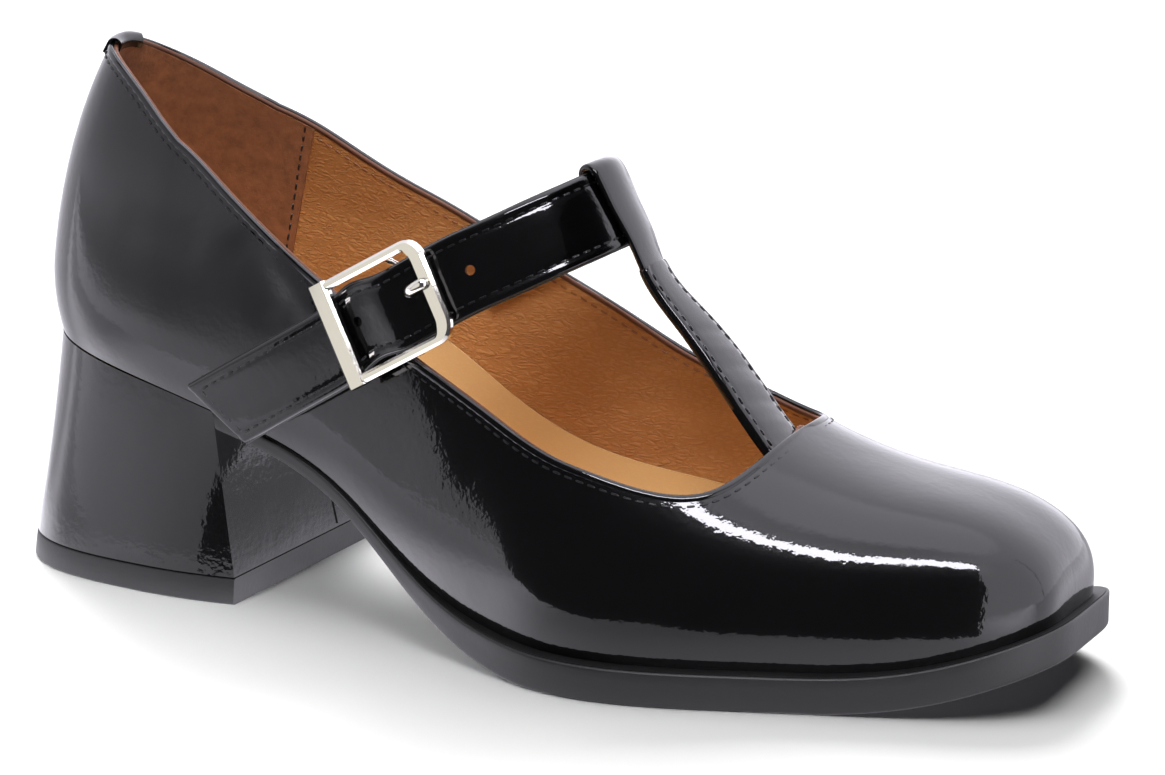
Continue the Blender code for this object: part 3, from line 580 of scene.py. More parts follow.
def joined(parts):
    """Several lots of points and faces as one."""
    points, faces, first = [], [], 0
    for some_points, some_faces in parts:
        points.append(some_points)
        faces += [[first + k for k in face] for face in some_faces]
        first += len(some_points)
    return np.concatenate(points), faces


# Materials

def fill(made, **values):
    """Inputs and settings of a shader node by name: a socket is linked, anything else is a value."""
    for name, value in values.items():
        label = name.replace("_", " ")
        if label not in made.inputs:
            setattr(made, name, value)
        elif isinstance(value, bpy.types.NodeSocket):
            made.id_data.links.new(value, made.inputs[label])
        else:
            made.inputs[label].default_value = value


def node(tree, kind, **values):
    """A new shader node with its settings and inputs."""
    made = tree.nodes.new("ShaderNode" + kind)
    fill(made, **values)
    return made


def maths(tree, kind, *values):
    """Output of a math node that is fed values and sockets."""
    made = node(tree, "Math", operation=kind)
    for slot, value in enumerate(values):
        if isinstance(value, bpy.types.NodeSocket):
            tree.links.new(value, made.inputs[slot])
        else:
            made.inputs[slot].default_value = value
    return made.outputs[0]


def remap(tree, value, low, high, to_low=0.0, to_high=1.0, kind="LINEAR"):
    """Output that goes from to_low to to_high while a value goes from low to high."""
    made = node(tree, "MapRange", interpolation_type=kind, Value=value, From_Min=low, From_Max=high,
                To_Min=to_low, To_Max=to_high)
    return made.outputs["Result"]


def bump(tree, height, distance, under=None):
    """Normal of a bump from a height, over a distance in millimetres, laid on another bump's normal."""
    made = node(tree, "Bump", Distance=distance * MM, Strength=1.0, Height=height)
    if under is not None:
        fill(made, Normal=under)
    return made.outputs["Normal"]


def noise(tree, place, scale, detail=2.0, rough=0.5, output="Fac"):
    """Output of a noise pattern."""
    return node(tree, "TexNoise", Scale=scale, Detail=detail, Roughness=rough, Vector=place).outputs[output]


def two_tones(tree, share, dark, light, low=0.0, high=1.0):
    """Colour from dark to light while a share goes from low to high."""
    ramp = node(tree, "ValToRGB", Fac=share)
    for element, colour, place in zip(ramp.color_ramp.elements, (dark, light), (low, high)):
        element.color = (*colour, 1)
        element.position = place
    return ramp.outputs["Color"]


def new_material(name):
    """A material, its node tree, its shader and the place on the piece that patterns follow."""
    material = bpy.data.materials.new(name)
    material.use_nodes = True
    tree = material.node_tree
    return material, tree, tree.nodes["Principled BSDF"], node(tree, "TexCoord").outputs["Object"]


def patent_material(name, wave, peel):
    """Black patent leather: clear gloss over soft waves and a fine peel, given as bump heights."""
    material, tree, shader, place = new_material(name)
    waves = noise(tree, place, 90.0, 1.0)
    uneven = bump(tree, noise(tree, place, 620.0, 2.0, 0.55), peel, under=bump(tree, waves, wave))
    black = two_tones(tree, waves, (0.0022, 0.0022, 0.0026), (0.0040, 0.0040, 0.0046))
    fill(shader, Normal=uneven, Coat_Normal=uneven, Base_Color=black, Roughness=0.22,
         Specular_IOR_Level=0.05, Coat_Weight=1.0, Coat_Roughness=0.035, Coat_IOR=1.5)
    return material


def leather_material(name, dark, light, grain_scale, grain, rough):
    """Matte leather: fine wrinkles that run along the shoe, painted shade in their valleys, and a slow
    change of colour.
    """
    material, tree, shader, place = new_material(name)
    place = node(tree, "Mapping", Scale=(0.36, 0.8, 1.0), Vector=place).outputs["Vector"]
    bent = node(tree, "Mix", data_type="VECTOR", Factor=0.003)
    tree.links.new(place, bent.inputs[4])
    tree.links.new(noise(tree, place, grain_scale * 0.5, 3.0, output="Color"), bent.inputs[5])
    cells = node(tree, "TexVoronoi", feature="DISTANCE_TO_EDGE", Scale=grain_scale, Randomness=1.0,
                 Vector=bent.outputs[1])
    wrinkles = remap(tree, cells.outputs["Distance"], 0.0, 0.4, kind="SMOOTHSTEP")
    folds = bump(tree, noise(tree, place, grain_scale * 0.28, 3.0, 0.55), grain * 1.6)
    # The share towards the light colour drops to 0.74 in the wrinkles' valleys: painted shade in the creases
    # of the grain.
    tone_and_crease_shade = maths(tree, "MULTIPLY", noise(tree, place, 45.0, 3.0), remap(tree, wrinkles, 0.0, 1.0, 0.74))
    fill(shader, Normal=bump(tree, wrinkles, grain, under=folds), Roughness=rough, Specular_IOR_Level=0.35,
         Base_Color=two_tones(tree, tone_and_crease_shade, dark, light, 0.15, 0.6))
    return material


def suede_material(name, dark, light):
    """Napped heel grip: short fibres that scatter the light."""
    material, tree, shader, place = new_material(name)
    brushed = noise(tree, place, 330.0, 3.0, 0.6)
    nap = bump(tree, noise(tree, place, 1600.0, 3.0, 0.7), 0.2, under=bump(tree, brushed, 0.25))
    fill(shader, Normal=nap, Base_Color=two_tones(tree, brushed, dark, light, 0.32, 0.68), Roughness=0.95,
         Sheen_Weight=0.35, Sheen_Roughness=0.5, Sheen_Tint=(0.9, 0.6, 0.4, 1))
    return material


def rubber_material(name, dark, light, rough):
    """Matte sole edge with a fine ground finish."""
    material, tree, shader, place = new_material(name)
    marks = noise(tree, place, 160.0, 4.0, 0.6)
    ground = bump(tree, noise(tree, place, 900.0, 3.0, 0.6), 0.05)
    fill(shader, Normal=ground, Base_Color=two_tones(tree, marks, dark, light),
         Roughness=remap(tree, marks, 0.0, 1.0, rough - 0.08, rough + 0.08))
    return material


def metal_material(name):
    """Polished nickel with faint rubbing marks."""
    material, tree, shader, place = new_material(name)
    marks = noise(tree, place, 700.0, 4.0, 0.65)
    fill(shader, Normal=bump(tree, marks, 0.006), Base_Color=(0.82, 0.79, 0.72, 1), Metallic=1.0,
         Roughness=remap(tree, marks, 0.0, 1.0, 0.08, 0.17))
    return material


def thread_material(name, colour):
    """Twisted sewing thread."""
    material, tree, shader, place = new_material(name)
    twist = node(tree, "TexWave", Scale=900.0, Distortion=1.0, Vector=place)
    fill(shader, Normal=bump(tree, twist.outputs["Fac"], 0.05), Base_Color=(*colour, 1), Roughness=0.28)
    return material


patent = patent_material("patent_leather", 0.10, 0.035)
lining = leather_material("lining_leather", (0.36, 0.14, 0.041), (0.60, 0.295, 0.108), 1000.0, 0.24, 0.5)
sock = leather_material("sock_leather", (0.72, 0.475, 0.225), (0.80, 0.55, 0.275), 1500.0, 0.012, 0.5)
suede = suede_material("suede_grip", (0.20, 0.07, 0.024), (0.31, 0.115, 0.042))
edge_rubber = rubber_material("edge_rubber", (0.012, 0.012, 0.0125), (0.022, 0.022, 0.0225), 0.48)
ledge_rubber = rubber_material("ledge_rubber", (0.003, 0.003, 0.003), (0.008, 0.008, 0.008), 0.5)
lift_rubber = rubber_material("lift_rubber", (0.010, 0.010, 0.0105), (0.018, 0.018, 0.0185), 0.55)
nickel = metal_material("polished_nickel")
black_thread = thread_material("black_thread", (0.008, 0.008, 0.009))
tan_thread = thread_material("tan_thread", (0.28, 0.10, 0.032))
brown_edge = leather_material("brown_edge", (0.11, 0.035, 0.014), (0.16, 0.055, 0.022), 1500.0, 0.02, 0.45)


# The upper

# Soft creases of the upper: side, x and z of both ends, half width, depth (negative for a ridge)
CREASE_COLUMNS = ("side", "x0", "z0", "x1", "z1", "half", "depth")
CREASES = (
    ("lateral", 62.0, 86.0, 78.0, 66.0, 5.0, 0.45),
    ("lateral", 72.0, 86.0, 88.0, 68.0, 4.0, -0.35),
    ("lateral", 30.0, 84.0, 58.0, 80.0, 6.0, 0.30),
)


def creases(points):
    """Depth of the soft troughs and ridges at points of the upper."""
    depth = np.zeros(len(points))
    for row in CREASES:
        crease = dict(zip(CREASE_COLUMNS, row))
        start = np.array([crease["x0"], crease["z0"]])
        way = np.array([crease["x1"], crease["z1"]]) - start
        share = np.clip(((points[:, [0, 2]] - start) @ way) / (way @ way), 0, 1)
        off = np.linalg.norm(points[:, [0, 2]] - start - share[:, None] * way, axis=1)
        on_side = points[:, 1] * SIDE[crease["side"]] > 0
        fade = smooth(4 * share) * smooth(4 * (1 - share))
        depth += on_side * crease["depth"] * fade * np.exp(-(off / crease["half"]) ** 2)
    return depth


def last_skin(quarter, toe, rows):
    """The last's surface inside the topline: points, faces and the rims as numbers of points."""
    points, index, grids = [], {}, {}
    for side in SIDE:
        stations, tops = topline(side, quarter)
        walls = list(zip(stations, tops))
        walls += [(s, math.pi / 2) for s in toe_stations(THROAT, toe)[1:-1]]
        grid = []
        for col, (station, top) in enumerate(walls):
            column = []
            for row, point in enumerate(even_profile(station, side, top, rows)):
                shared = col == 0 or (row == rows - 1 and col >= quarter - 1)
                key = (col, row) if shared else (side, col, row)
                if key not in index:
                    index[key] = len(points)
                    points.append(point)
                column.append(index[key])
            grid.append(column)
        grids[side] = grid
    tip = len(points)
    points.append(profile(TOE_TIP, "lateral", [0.0])[0])
    faces = []
    for side, grid in grids.items():
        for a, b in zip(grid, grid[1:] + [[tip] * rows]):
            for row in range(rows - 1):
                quad = [a[row], b[row], b[row + 1], a[row + 1]]
                if b[row] == b[row + 1]:
                    quad = [a[row], b[row], a[row + 1]]
                if side == "medial":
                    quad.reverse()
                faces.append(quad)
    outer, inner = grids["lateral"], grids["medial"]
    bottom = [c[0] for c in outer] + [tip] + [c[0] for c in inner[:0:-1]]
    around = outer[:quarter] + inner[quarter - 2:0:-1]
    collar = [c[-1] for c in around]
    under = [c[-2] for c in around]
    return np.array(points), faces, bottom, collar, under


def shell(skin, normals, outer_depth, inner_depth, steps=4):
    """A closed layer of the upper between two depths under the skin, with a rounded collar edge."""
    points, faces, bottom, collar, under = skin
    lots = [points - normals * depth for depth in (outer_depth, inner_depth)]
    for lot in lots:
        lot[bottom, 2] = points[bottom, 2]
    count = len(points)
    radius = (inner_depth - outer_depth) / 2
    out = normals[collar]
    edge = square_to(points[collar] - points[under], out)
    heart = points[collar] - out * (outer_depth + radius)
    rings = [collar]
    for k in range(1, steps + 1):
        turn = math.pi * k / (steps + 1)
        rings.append([2 * count + (k - 1) * len(collar) + i for i in range(len(collar))])
        lots.append(heart + radius * (math.cos(turn) * out + math.sin(turn) * edge))
    rings.append([count + i for i in collar])
    solid = list(faces) + [[count + k for k in reversed(face)] for face in faces]
    solid += [(b, a, count + a, count + b) for a, b in zip(bottom, bottom[1:] + bottom[:1])]
    for one, other in zip(rings, rings[1:]):
        for i in range(len(collar)):
            n = (i + 1) % len(collar)
            solid.append((one[i], one[n], other[n], other[i]))
    return np.concatenate(lots), solid


def build_upper():
    """The hollow upper in two layers: patent outside, with its creases, and tan lining inside."""
    skin = last_skin(quarter=190, toe=70, rows=44)
    points, faces = skin[:2]
    normals = vertex_normals(points, faces)
    dressed = (points - normals * creases(points)[:, None], *skin[1:])
    piece("upper_patent", *shell(dressed, normals, 0.0, SKIN), patent, "patent_leather", ["upper"], sharp=60)
    tan = shell(skin, normals, SKIN + LINING_SKIP, WALL)
    piece("upper_lining", *tan, lining, "lining_leather", sharp=60)


# The collar's rolled bead reaches a little over its edge, and the lining's dark rim lies inside it
BEAD_WIDE = 1.6
BEAD_HIGH = 0.32
BEAD_OVER = 0.3
RIM_RADIUS = 0.62
RIM_DROP = 0.15


def collar_frame(count=700):
    """The collar as one closed loop: its points on the last, the way down the wall and the way out."""
    lots = []
    for side, order in (("lateral", slice(None)), ("medial", slice(-2, 0, -1))):
        walls = [profile(s, side, [t, max(t - COLLAR_STEP, 0.0)]) for s, t in zip(*topline(side, count))]
        heads, lower = np.array(walls).transpose(1, 0, 2)
        along = np.gradient(heads, axis=0)
        normal = unit(np.cross(along, heads - lower) * -SIDE[side])
        down = np.cross(normal, along)
        down = unit(down * -np.sign((down * (heads - lower)).sum(1))[:, None])
        lots.append([heads[order], down[order], normal[order]])
    return [np.concatenate(pair) for pair in zip(*lots)]


def build_collar():
    """Stitch rows under the collar's edge, the lining's rim and the patent bead."""
    heads, down, normal = collar_frame()
    line = heads + down * STITCH_INSET
    piece("collar_stitching", *stitch_row(line, normal), black_thread, "patent_leather")
    piece("lining_stitching", *stitch_row(line - normal * WALL, -normal), tan_thread, "lining_leather")
    middle = heads - normal * ((WALL + SKIN) / 2) + down * RIM_DROP
    rim, bead = [], []
    for turn in np.linspace(0, 2 * math.pi, 10, endpoint=False):
        rim.append(middle + (down * math.cos(turn) + normal * math.sin(turn)) * RIM_RADIUS)
    for turn in np.linspace(0, 2 * math.pi, 16, endpoint=False):
        inset = BEAD_WIDE / 2 * (1 + math.cos(turn)) - BEAD_OVER
        lift = BEAD_HIGH * math.sin(turn) * (1.0 if turn < math.pi else 0.5)
        bead.append(heads + down * inset + normal * lift)
    piece("lining_rim", *ring_round(np.stack(rim, 1)), brown_edge, "lining_leather", sharp=180)
    piece("collar_bead", *ring_round(np.stack(bead, 1)), patent, "patent_leather", sharp=180)


# The heel grip: station of its seam at the feather line and how far it leans forward up to the collar
GRIP_SEAM = 39.6
GRIP_LEAN = 15.4
GRIP_LOW = 4.0
GRIP_HIGH = 0.995
GRIP_THICK = 0.35
GRIP_SKIP = 0.02
GRIP_TOPS = {side: topline(side, 300) for side in SIDE}


def grip_point(share, rise):
    """A point of the wall inside the heel, from the inner seam (-1) round to the outer seam (1)."""
    side = "medial" if share < 0 else "lateral"
    station = abs(share) * (GRIP_SEAM + GRIP_LEAN * rise)
    top = float(np.interp(station, *GRIP_TOPS[side]))
    low = top_angle(station, side, section(station, side).base + GRIP_LOW)
    return profile(station, side, [low + (GRIP_HIGH * top - low) * rise])[0]


def build_heel_grip():
    """The suede patch round the inside of the heel, sewn down both of its seams."""
    shares = np.linspace(-1, 1, 101)
    rises = np.linspace(0, 1, 40)
    wall = np.array([[grip_point(share, rise) for share in shares] for rise in rises])
    normal = unit(np.cross(np.gradient(wall, axis=0), np.gradient(wall, axis=1)))
    normal *= -np.sign(normal[len(rises) // 2, len(shares) // 2, 0])
    face = wall - normal * (WALL + GRIP_THICK)
    back = wall - normal * (WALL + GRIP_SKIP)
    piece("heel_grip", *slab(face, back), suede, "lining_leather", sharp=60)
    rows = [stitch_row(face[:, k], -normal[:, k]) for k in (2, -3)]
    piece("grip_stitching", *joined(rows), black_thread, "lining_leather")


# Sole and heel

def stacked(levels, across):
    """Closed solid from open rings, top to bottom, each facing itself across the shoe."""
    count = len(levels[0])
    rows = len(levels)
    points = [np.concatenate(levels)]
    faces = grid_faces(rows, count)
    half = count // 2
    first = rows * count
    ends = []
    for level, flip in ((0, False), (rows - 1, True)):
        ring = levels[level]
        lines = []
        for i in range(half):
            j = count - 1 - i
            inner = [first + k for k in range(across)]
            share = (np.arange(across) + 1)[:, None] / (across + 1)
            points.append(ring[i] + (ring[j] - ring[i]) * share)
            first += across
            lines.append([level * count + i, *inner, level * count + j])
        ends.append(lines[0])
        for a, b in zip(lines, lines[1:]):
            for k in range(across + 1):
                quad = (a[k], b[k], b[k + 1], a[k + 1])
                faces.append(quad if not flip else quad[::-1])
        a = lines[-1]
        tip = level * count + half
        for k in range(across + 1):
            face = (a[k], tip, a[k + 1])
            faces.append(face if not flip else face[::-1])
    near = [level * count for level in range(rows)]
    far = [level * count + count - 1 for level in range(rows)]
    faces.append([*ends[0], *far[1:], *reversed(ends[1][:-1]), *reversed(near[1:-1])])
    return np.concatenate(points), faces


# Outsole edge from its top to its bottom: inset from the outline, and share of the thickness
SOLE_EDGE = (
    (1.0, 0.0), (0.42, 0.0), (0.22, 0.015), (0.07, 0.045), (0.0, 0.085), (0.0, 0.3), (0.0, 0.6), (0.0, 0.88),
    (0.1, 0.95), (0.3, 0.985), (0.6, 1.0),
)
LEDGE_INSIDE = 1.2
LEDGE_EDGE = 0.75
LEDGE_RISE = 0.22
LEDGE_SINK = 0.1
SOLE_RIM_LIFT = 0.15


def build_outsole():
    """The outsole with its rounded edge, and the rough strip on its ledge."""
    ring = feather_ring(HEEL_BREAST + GAP, 130)
    normal = outward(ring)
    normal[[0, -1]] = (0, -1), (0, 1)
    lean = (HEEL_FOOT_BREAST - HEEL_BREAST) / (float(feather_z(HEEL_BREAST)) - TOP_LIFT_THICK - 2 * GAP)
    levels = []
    for inset, share in SOLE_EDGE:
        level = ring.copy()
        level[:, :2] += normal * (SOLE_CURVE["ledge"](ring[:, 0]) - inset)[:, None]
        top = feather_z(level[:, 0]) - GAP
        floor = SOLE_RIM_LIFT if share < 1 else 0.0
        level[:, 2] = np.maximum(top - share * SOLE_CURVE["thick"](level[:, 0]), floor)
        # The rear end leans with the heel's breast.
        level[[0, -1], 0] += (top - level[:, 2])[[0, -1]] * lean
        levels.append(level)
    piece("outsole_body", *stacked(levels, 9), edge_rubber, "edge_rubber", ["outsole"], sharp=50)
    # A rough strip lies on the ledge between the upper and the sole's edge.
    reach = SOLE_CURVE["ledge"](ring[:, 0]) - LEDGE_EDGE
    strip = []
    for share in np.linspace(0, 1, 6):
        row = ring.copy()
        row[:, :2] += normal * (-LEDGE_INSIDE + (np.maximum(reach, 0.0) + LEDGE_INSIDE) * share)[:, None]
        row[:, 2] = feather_z(row[:, 0]) - GAP
        strip.append(row)
    strip = np.array(strip)
    ledge = slab(strip + (0, 0, LEDGE_RISE), strip - (0, 0, LEDGE_SINK))
    piece("sole_ledge", *ledge, ledge_rubber, "edge_rubber")


# The cover's flap on the heel breast: where it starts across, where it ends and its thickness
BREAST_FLAP = 0.7
BREAST_FLAP_END = 0.985
BREAST_FLAP_MARGIN = 0.02
BREAST_FLAP_THICK = 0.3
# Top lift's edge from top to bottom: share of its thickness and inset
LIFT_EDGE = ((1.0, 0.5), (0.97, 0.15), (0.92, 0.0), (0.5, 0.0), (0.08, 0.0), (0.03, 0.15), (0.0, 0.5))


def heel_foot_ring(seat, flare):
    """The heel's outline near the floor, point for point with the ring round its seat."""
    ring = np.empty((len(seat), 2))
    half = HEEL_FOOT_HALF + flare
    for i, (x, y) in enumerate(seat[:, :2]):
        if x > FAN_X:
            along = (x - FAN_X) / (HEEL_BREAST - FAN_X)
            corner = HEEL_FOOT_CORNER + flare
            ahead = along * (HEEL_FOOT_BREAST - HEEL_FOOT_X)
            ring[i] = HEEL_FOOT_X + ahead, half - (half - corner) * along**2
        else:
            angle = math.atan2(FAN_X - x, abs(y))
            back, out = math.sin(angle), math.cos(angle)
            rounds = (back / (HEEL_FOOT_BACK + flare)) ** HEEL_FOOT_ROUND + (out / half) ** HEEL_FOOT_ROUND
            reach = rounds ** (-1 / HEEL_FOOT_ROUND)
            ring[i] = HEEL_FOOT_X - back * reach, out * reach
        ring[i, 1] *= math.copysign(1.0, y) if abs(y) > 1e-6 else 0.0
    return ring


def build_heel():
    """The patent-covered block heel, and the cover's flap that is glued across the breast."""
    seat = seat_ring(60)
    foot = heel_foot_ring(seat, 0.0)
    top = feather_z(seat[:, 0]) - GAP
    levels = []
    for share in np.linspace(0, 1, 36):
        level = seat.copy()
        level[:, :2] += (foot - seat[:, :2]) * share
        level[:, 2] = top + (TOP_LIFT_THICK + GAP - top) * share
        levels.append(level[::-1])
    piece("heel_cover", *stacked(levels, 5), patent, "patent_leather", ["heel"], sharp=50)
    high, low = levels[0][[-1, 0]], levels[-1][[-1, 0]]
    across = np.linspace(BREAST_FLAP, BREAST_FLAP_END, 8)[None, :, None]
    down = np.linspace(BREAST_FLAP_MARGIN, 1 - BREAST_FLAP_MARGIN, 12)[:, None, None]
    upper = high[0] + (high[1] - high[0]) * across
    lower = low[0] + (low[1] - low[0]) * across
    flap = upper * (1 - down) + lower * down
    piece("breast_flap", *slab(flap + (BREAST_FLAP_THICK, 0, 0), flap), patent, "patent_leather")


def build_top_lift():
    """The wear layer under the heel, with a softened edge."""
    seat = seat_ring(60)
    levels = []
    for share, inset in LIFT_EDGE:
        height = share * TOP_LIFT_THICK
        ring = heel_foot_ring(seat, (TOP_LIFT_THICK - height) * HEEL_FLARE_PER_MM - inset)
        levels.append(np.column_stack([ring, np.full(len(ring), height)])[::-1])
    piece("top_lift_body", *stacked(levels, 5), lift_rubber, "lift_rubber", ["top_lift"], sharp=50)


# Rise of the sock's turned-up edge on the inner wall over the length, and its other sizes
SOCK_RISE = spline(*zip(
    (0, 5), (20, 8), (60, 12), (85, 17), (110, 20), (127, 20), (154, 16.5), (200, 8), (248, 5),
))
SOCK_OUTER_RISE = 4.5
SOCK_START = 0.8
SOCK_COVE = 8.0
SOCK_DISH = 0.9
SOCK_FACE = 0.45
SOCK_BACK = 0.08
# Most that the sock takes of a section's height and reach: edge, cove, face and back
SOCK_SHARES = (0.4, 0.3, 0.7, 0.6)


def sock_wall(station, side, rise):
    """The sock's face and back from its turned-up edge down to the foot of one wall."""
    form = section(station, side)
    edge_share, cove_share, face_share, back_share = SOCK_SHARES
    rise = min(rise, edge_share * form.height)
    cove = min(SOCK_COVE, cove_share * form.reach)
    way = np.array([*form.way, 0.0])
    face, back = [], []
    for up in np.linspace(1, 0, 12) ** 1.4:
        over = up * rise
        bend = max(0.0, 1 - over / cove)
        inward = WALL + SOCK_FACE + cove * (1 - math.sqrt(1 - bend * bend))
        wall = at_height(station, side, INSOLE_THICK + over)
        face.append(wall - way * min(inward, face_share * form.reach))
        behind = at_height(station, side, (INSOLE_THICK + over) * (1 - bend))
        back.append(behind - way * min(WALL + SOCK_BACK, back_share * form.reach))
    return face, back


def build_insole():
    """The sock: a thin sheet with a soft dish, turned up along the walls."""
    heel = np.linspace(SOCK_START, FAN_X, 40)[:-1]
    toe = toe_stations(TOE_TURN, 36)[1:-3]
    share = (0.5 - 0.5 * np.cos(np.linspace(0, math.pi, 15)))[1:-1, None]
    dish = SOCK_DISH * (4 * share * (1 - share))[:, 0] ** 0.8
    top, low = [], []
    for station in np.concatenate([heel, np.linspace(FAN_X, TOE_TURN, 110), toe]):
        outer, outer_back = sock_wall(station, "lateral", SOCK_OUTER_RISE)
        inner, inner_back = sock_wall(station, "medial", float(SOCK_RISE(station)))
        middle = outer[-1] + (inner[-1] - outer[-1]) * share
        middle[:, 2] = feather_z(middle[:, 0]) + INSOLE_THICK - dish
        under = outer_back[-1] + (inner_back[-1] - outer_back[-1]) * share
        under[:, 2] = feather_z(under[:, 0])
        top.append(np.concatenate([outer, middle, inner[::-1]]))
        low.append(np.concatenate([outer_back, under, inner_back[::-1]]))
    piece("sock_sheet", *slab(np.array(top), np.array(low)), sock, "lining_leather", ["insole"], sharp=60)


# Straps

STRAP_HALF = STRAP_WIDTH / 2
STRAP_SKIN = 1.15
# Rounded edges of the patent face: width and drop, then the groove under a stitch row and the rise inside it
STRAP_ROUND = 1.2
STRAP_ROUND_DROP = 0.75
STRAP_FLAT = 7.2
GROOVE_DEPTH = 0.16
GROOVE_HALF = 0.55
PAD_RISE = 0.12
PAD_REACH = 4.0
# Rounding of the strap's ends, and what is left of its thickness there
END_ROUND = 0.8
END_THICK = 0.55
END_STEPS = (0.0, 0.12, 0.35)
# Where the stitch rows start, where they stop before the hidden end, and how deep they sit
ROW_START = 2.2
ROW_STOP = 1.0
ROW_SINK = 0.12
# Width of the strap's lining as a share of the strap's
LINING_SHARE = 0.985
# The strap swells over the buckle's hidden bar: place past the buckle's middle, half length and height
SWELL_AT = 1.0
SWELL_HALF = 6.0
SWELL_HEIGHT = 1.1
# Inside the buckle it also lies a little high across the frame: place, half length and amount
ASIDE_AT = -7.5
ASIDE_HALF = 6.5
ASIDE = 1.9
# Painted edge of the strap: how far in, how far down and radius
EDGE_INSET = 0.3
EDGE_DROP = 0.1
EDGE_RADIUS = 0.55
# Holes: place along from the buckle's middle, across, radius, and out from the strap's middle at the bottom
HOLES = ((-8.5, 0.6, 1.1, 0.3), (6.6, 2.1, 1.35, -4.0), (20.4, 0.0, 1.1, -4.0))
HOLE_TOP = 5.0


def strap_surface(along, across, out):
    """Points of the worn strap: slanted at its free end and swollen inside the buckle."""
    along, across, out = np.broadcast_arrays(np.asarray(along, float), across, out)
    fade = np.clip(1 - along / STRAP_END_FADE, 0, 1)
    place = along + fade * STRAP_END_SLANT * (0.5 - (across + STRAP_HALF) / STRAP_WIDTH)
    swell = SWELL_HEIGHT * np.exp(-((place - BUCKLE_RUN - SWELL_AT) / SWELL_HALF) ** 2)
    aside = ASIDE * np.exp(-((place - BUCKLE_RUN - ASIDE_AT) / ASIDE_HALF) ** 2)
    return strap_point(place, across + aside, out + swell)


def strap_section():
    """Across and out of the strap's patent face, with rounded edges and a groove under each stitch row."""
    edge = np.linspace(STRAP_HALF - STRAP_ROUND, STRAP_HALF, 7)
    across = np.concatenate([-edge[::-1], np.linspace(-STRAP_FLAT, STRAP_FLAT, 33), edge])
    from_edge = STRAP_HALF - abs(across)
    rounding = np.clip(1 - from_edge / STRAP_ROUND, 0, 1)
    out = STRAP_THICK / 2 - STRAP_ROUND_DROP * (1 - np.sqrt(1 - rounding**2))
    out -= GROOVE_DEPTH * np.exp(-((from_edge - STITCH_INSET) / GROOVE_HALF) ** 2)
    out += PAD_RISE * smooth((from_edge - STITCH_INSET) / PAD_REACH)
    return across, out


def strap_layer(name, across, top, bottom, material, slot, nodes):
    """One layer of the ankle strap between two out lines across its width."""
    end = STRAP_RUN[-1]
    steps = np.array(END_STEPS)
    along = np.concatenate([steps, np.linspace(END_ROUND, end - END_ROUND, 240), end - steps[::-1]])
    close = np.minimum(along, end - along)
    rounding = np.clip(1 - close / END_ROUND, 0, 1)
    squeeze = END_THICK + (1 - END_THICK) * np.sqrt(1 - rounding**2)[:, None]
    middle = (top + bottom) / 2
    upper = middle + (top - middle) * squeeze
    lower = middle + (bottom - middle) * squeeze
    loops = np.concatenate([strap_surface(along[:, None], across, upper),
                            strap_surface(along[:, None], across[::-1], lower[:, ::-1])], 1)
    return piece(name, *swept(loops), material, slot, nodes, sharp=60)


def build_ankle_strap():
    """The strap in two layers with its holes."""
    across, top = strap_section()
    level = np.ones(len(across))
    split = STRAP_THICK / 2 - STRAP_SKIN
    skin = strap_layer("ankle_strap_patent", across, top, split * level, patent, "patent_leather",
                       ["ankle_strap"])
    under = strap_layer("ankle_strap_lining", across * LINING_SHARE, (split - LINING_SKIP) * level,
                        -STRAP_THICK / 2 * level, lining, "lining_leather", [])
    for place, aside, radius, low in HOLES:
        axis = strap_surface(np.full(2, BUCKLE_RUN + place), aside, np.array([low, HOLE_TOP]))
        hole = rod(axis, radius, 20)
        cut(skin, *hole, "DIFFERENCE")
        cut(under, *hole, "DIFFERENCE")


def build_strap_trim():
    """Stitch rows along both edges and across the free end of the strap, and its painted edges."""
    end = STRAP_RUN[-1] - ROW_STOP
    line = np.linspace(ROW_START, end, 900)
    side = STRAP_HALF - STITCH_INSET
    seat = STRAP_THICK / 2 - ROW_SINK
    rows = [sewn(strap_surface, line, edge, seat) for edge in (-side, side)]
    rows.append(sewn(strap_surface, ROW_START, np.linspace(-side, side, 40), seat))
    piece("strap_stitching", *joined(rows), black_thread, "patent_leather")
    side = STRAP_HALF - EDGE_INSET
    line = np.linspace(EDGE_INSET, end, 400)
    rows = [strap_surface(line, edge, -EDGE_DROP) for edge in (-side, side)]
    rows.append(strap_surface(EDGE_INSET, np.linspace(-side, side, 30), -EDGE_DROP))
    edges = [rod(row, EDGE_RADIUS, 10, round_end=True) for row in rows]
    piece("strap_edges", *joined(edges), ledge_rubber, "patent_leather")


# How far inside the strap's edge the loop leaves it in front, and ends behind
LOOP_FRONT = 2.0
LOOP_BACK = 3.0


def t_path():
    """Centre line of the T-bar in the x-z plane, from under the vamp, up and round the ankle strap."""
    half = STRAP_HALF + T_LOOP_CLEAR + T_THICK / 2
    lift = STRAP_THICK / 2 + T_LOOP_CLEAR + T_THICK / 2
    centre, _, wide, _ = frame_at(T_RUN)
    wide = unit(wide[[0, 2]])
    out = np.array([wide[1], -wide[0]])
    heart = centre[[0, 2]]
    path = [np.array(p) for p in T_BAR]
    path.append(heart - wide * (half - LOOP_FRONT) + out * lift)
    path.append(heart + out * lift)
    for turn in np.linspace(0, math.pi, 7):
        path.append(heart + wide * (half - lift + lift * math.sin(turn)) + out * lift * math.cos(turn))
    path.append(heart - out * lift)
    path.append(heart - wide * (half - LOOP_BACK) - out * lift)
    path = np.array(path)
    run = lengths(path)
    return [spline(run, path[:, k]) for k in range(2)], run, heart, wide, out


T_CURVE, T_LENGTHS, T_HEART, T_WIDE, T_OUT = t_path()
# Share of the bar's length from which it takes on the strap's curve
T_ONTO = 0.7


def t_share(at):
    """Share of the bar's length up to the loop."""
    return np.clip(at / T_LENGTHS[len(T_BAR)], 0, 1)


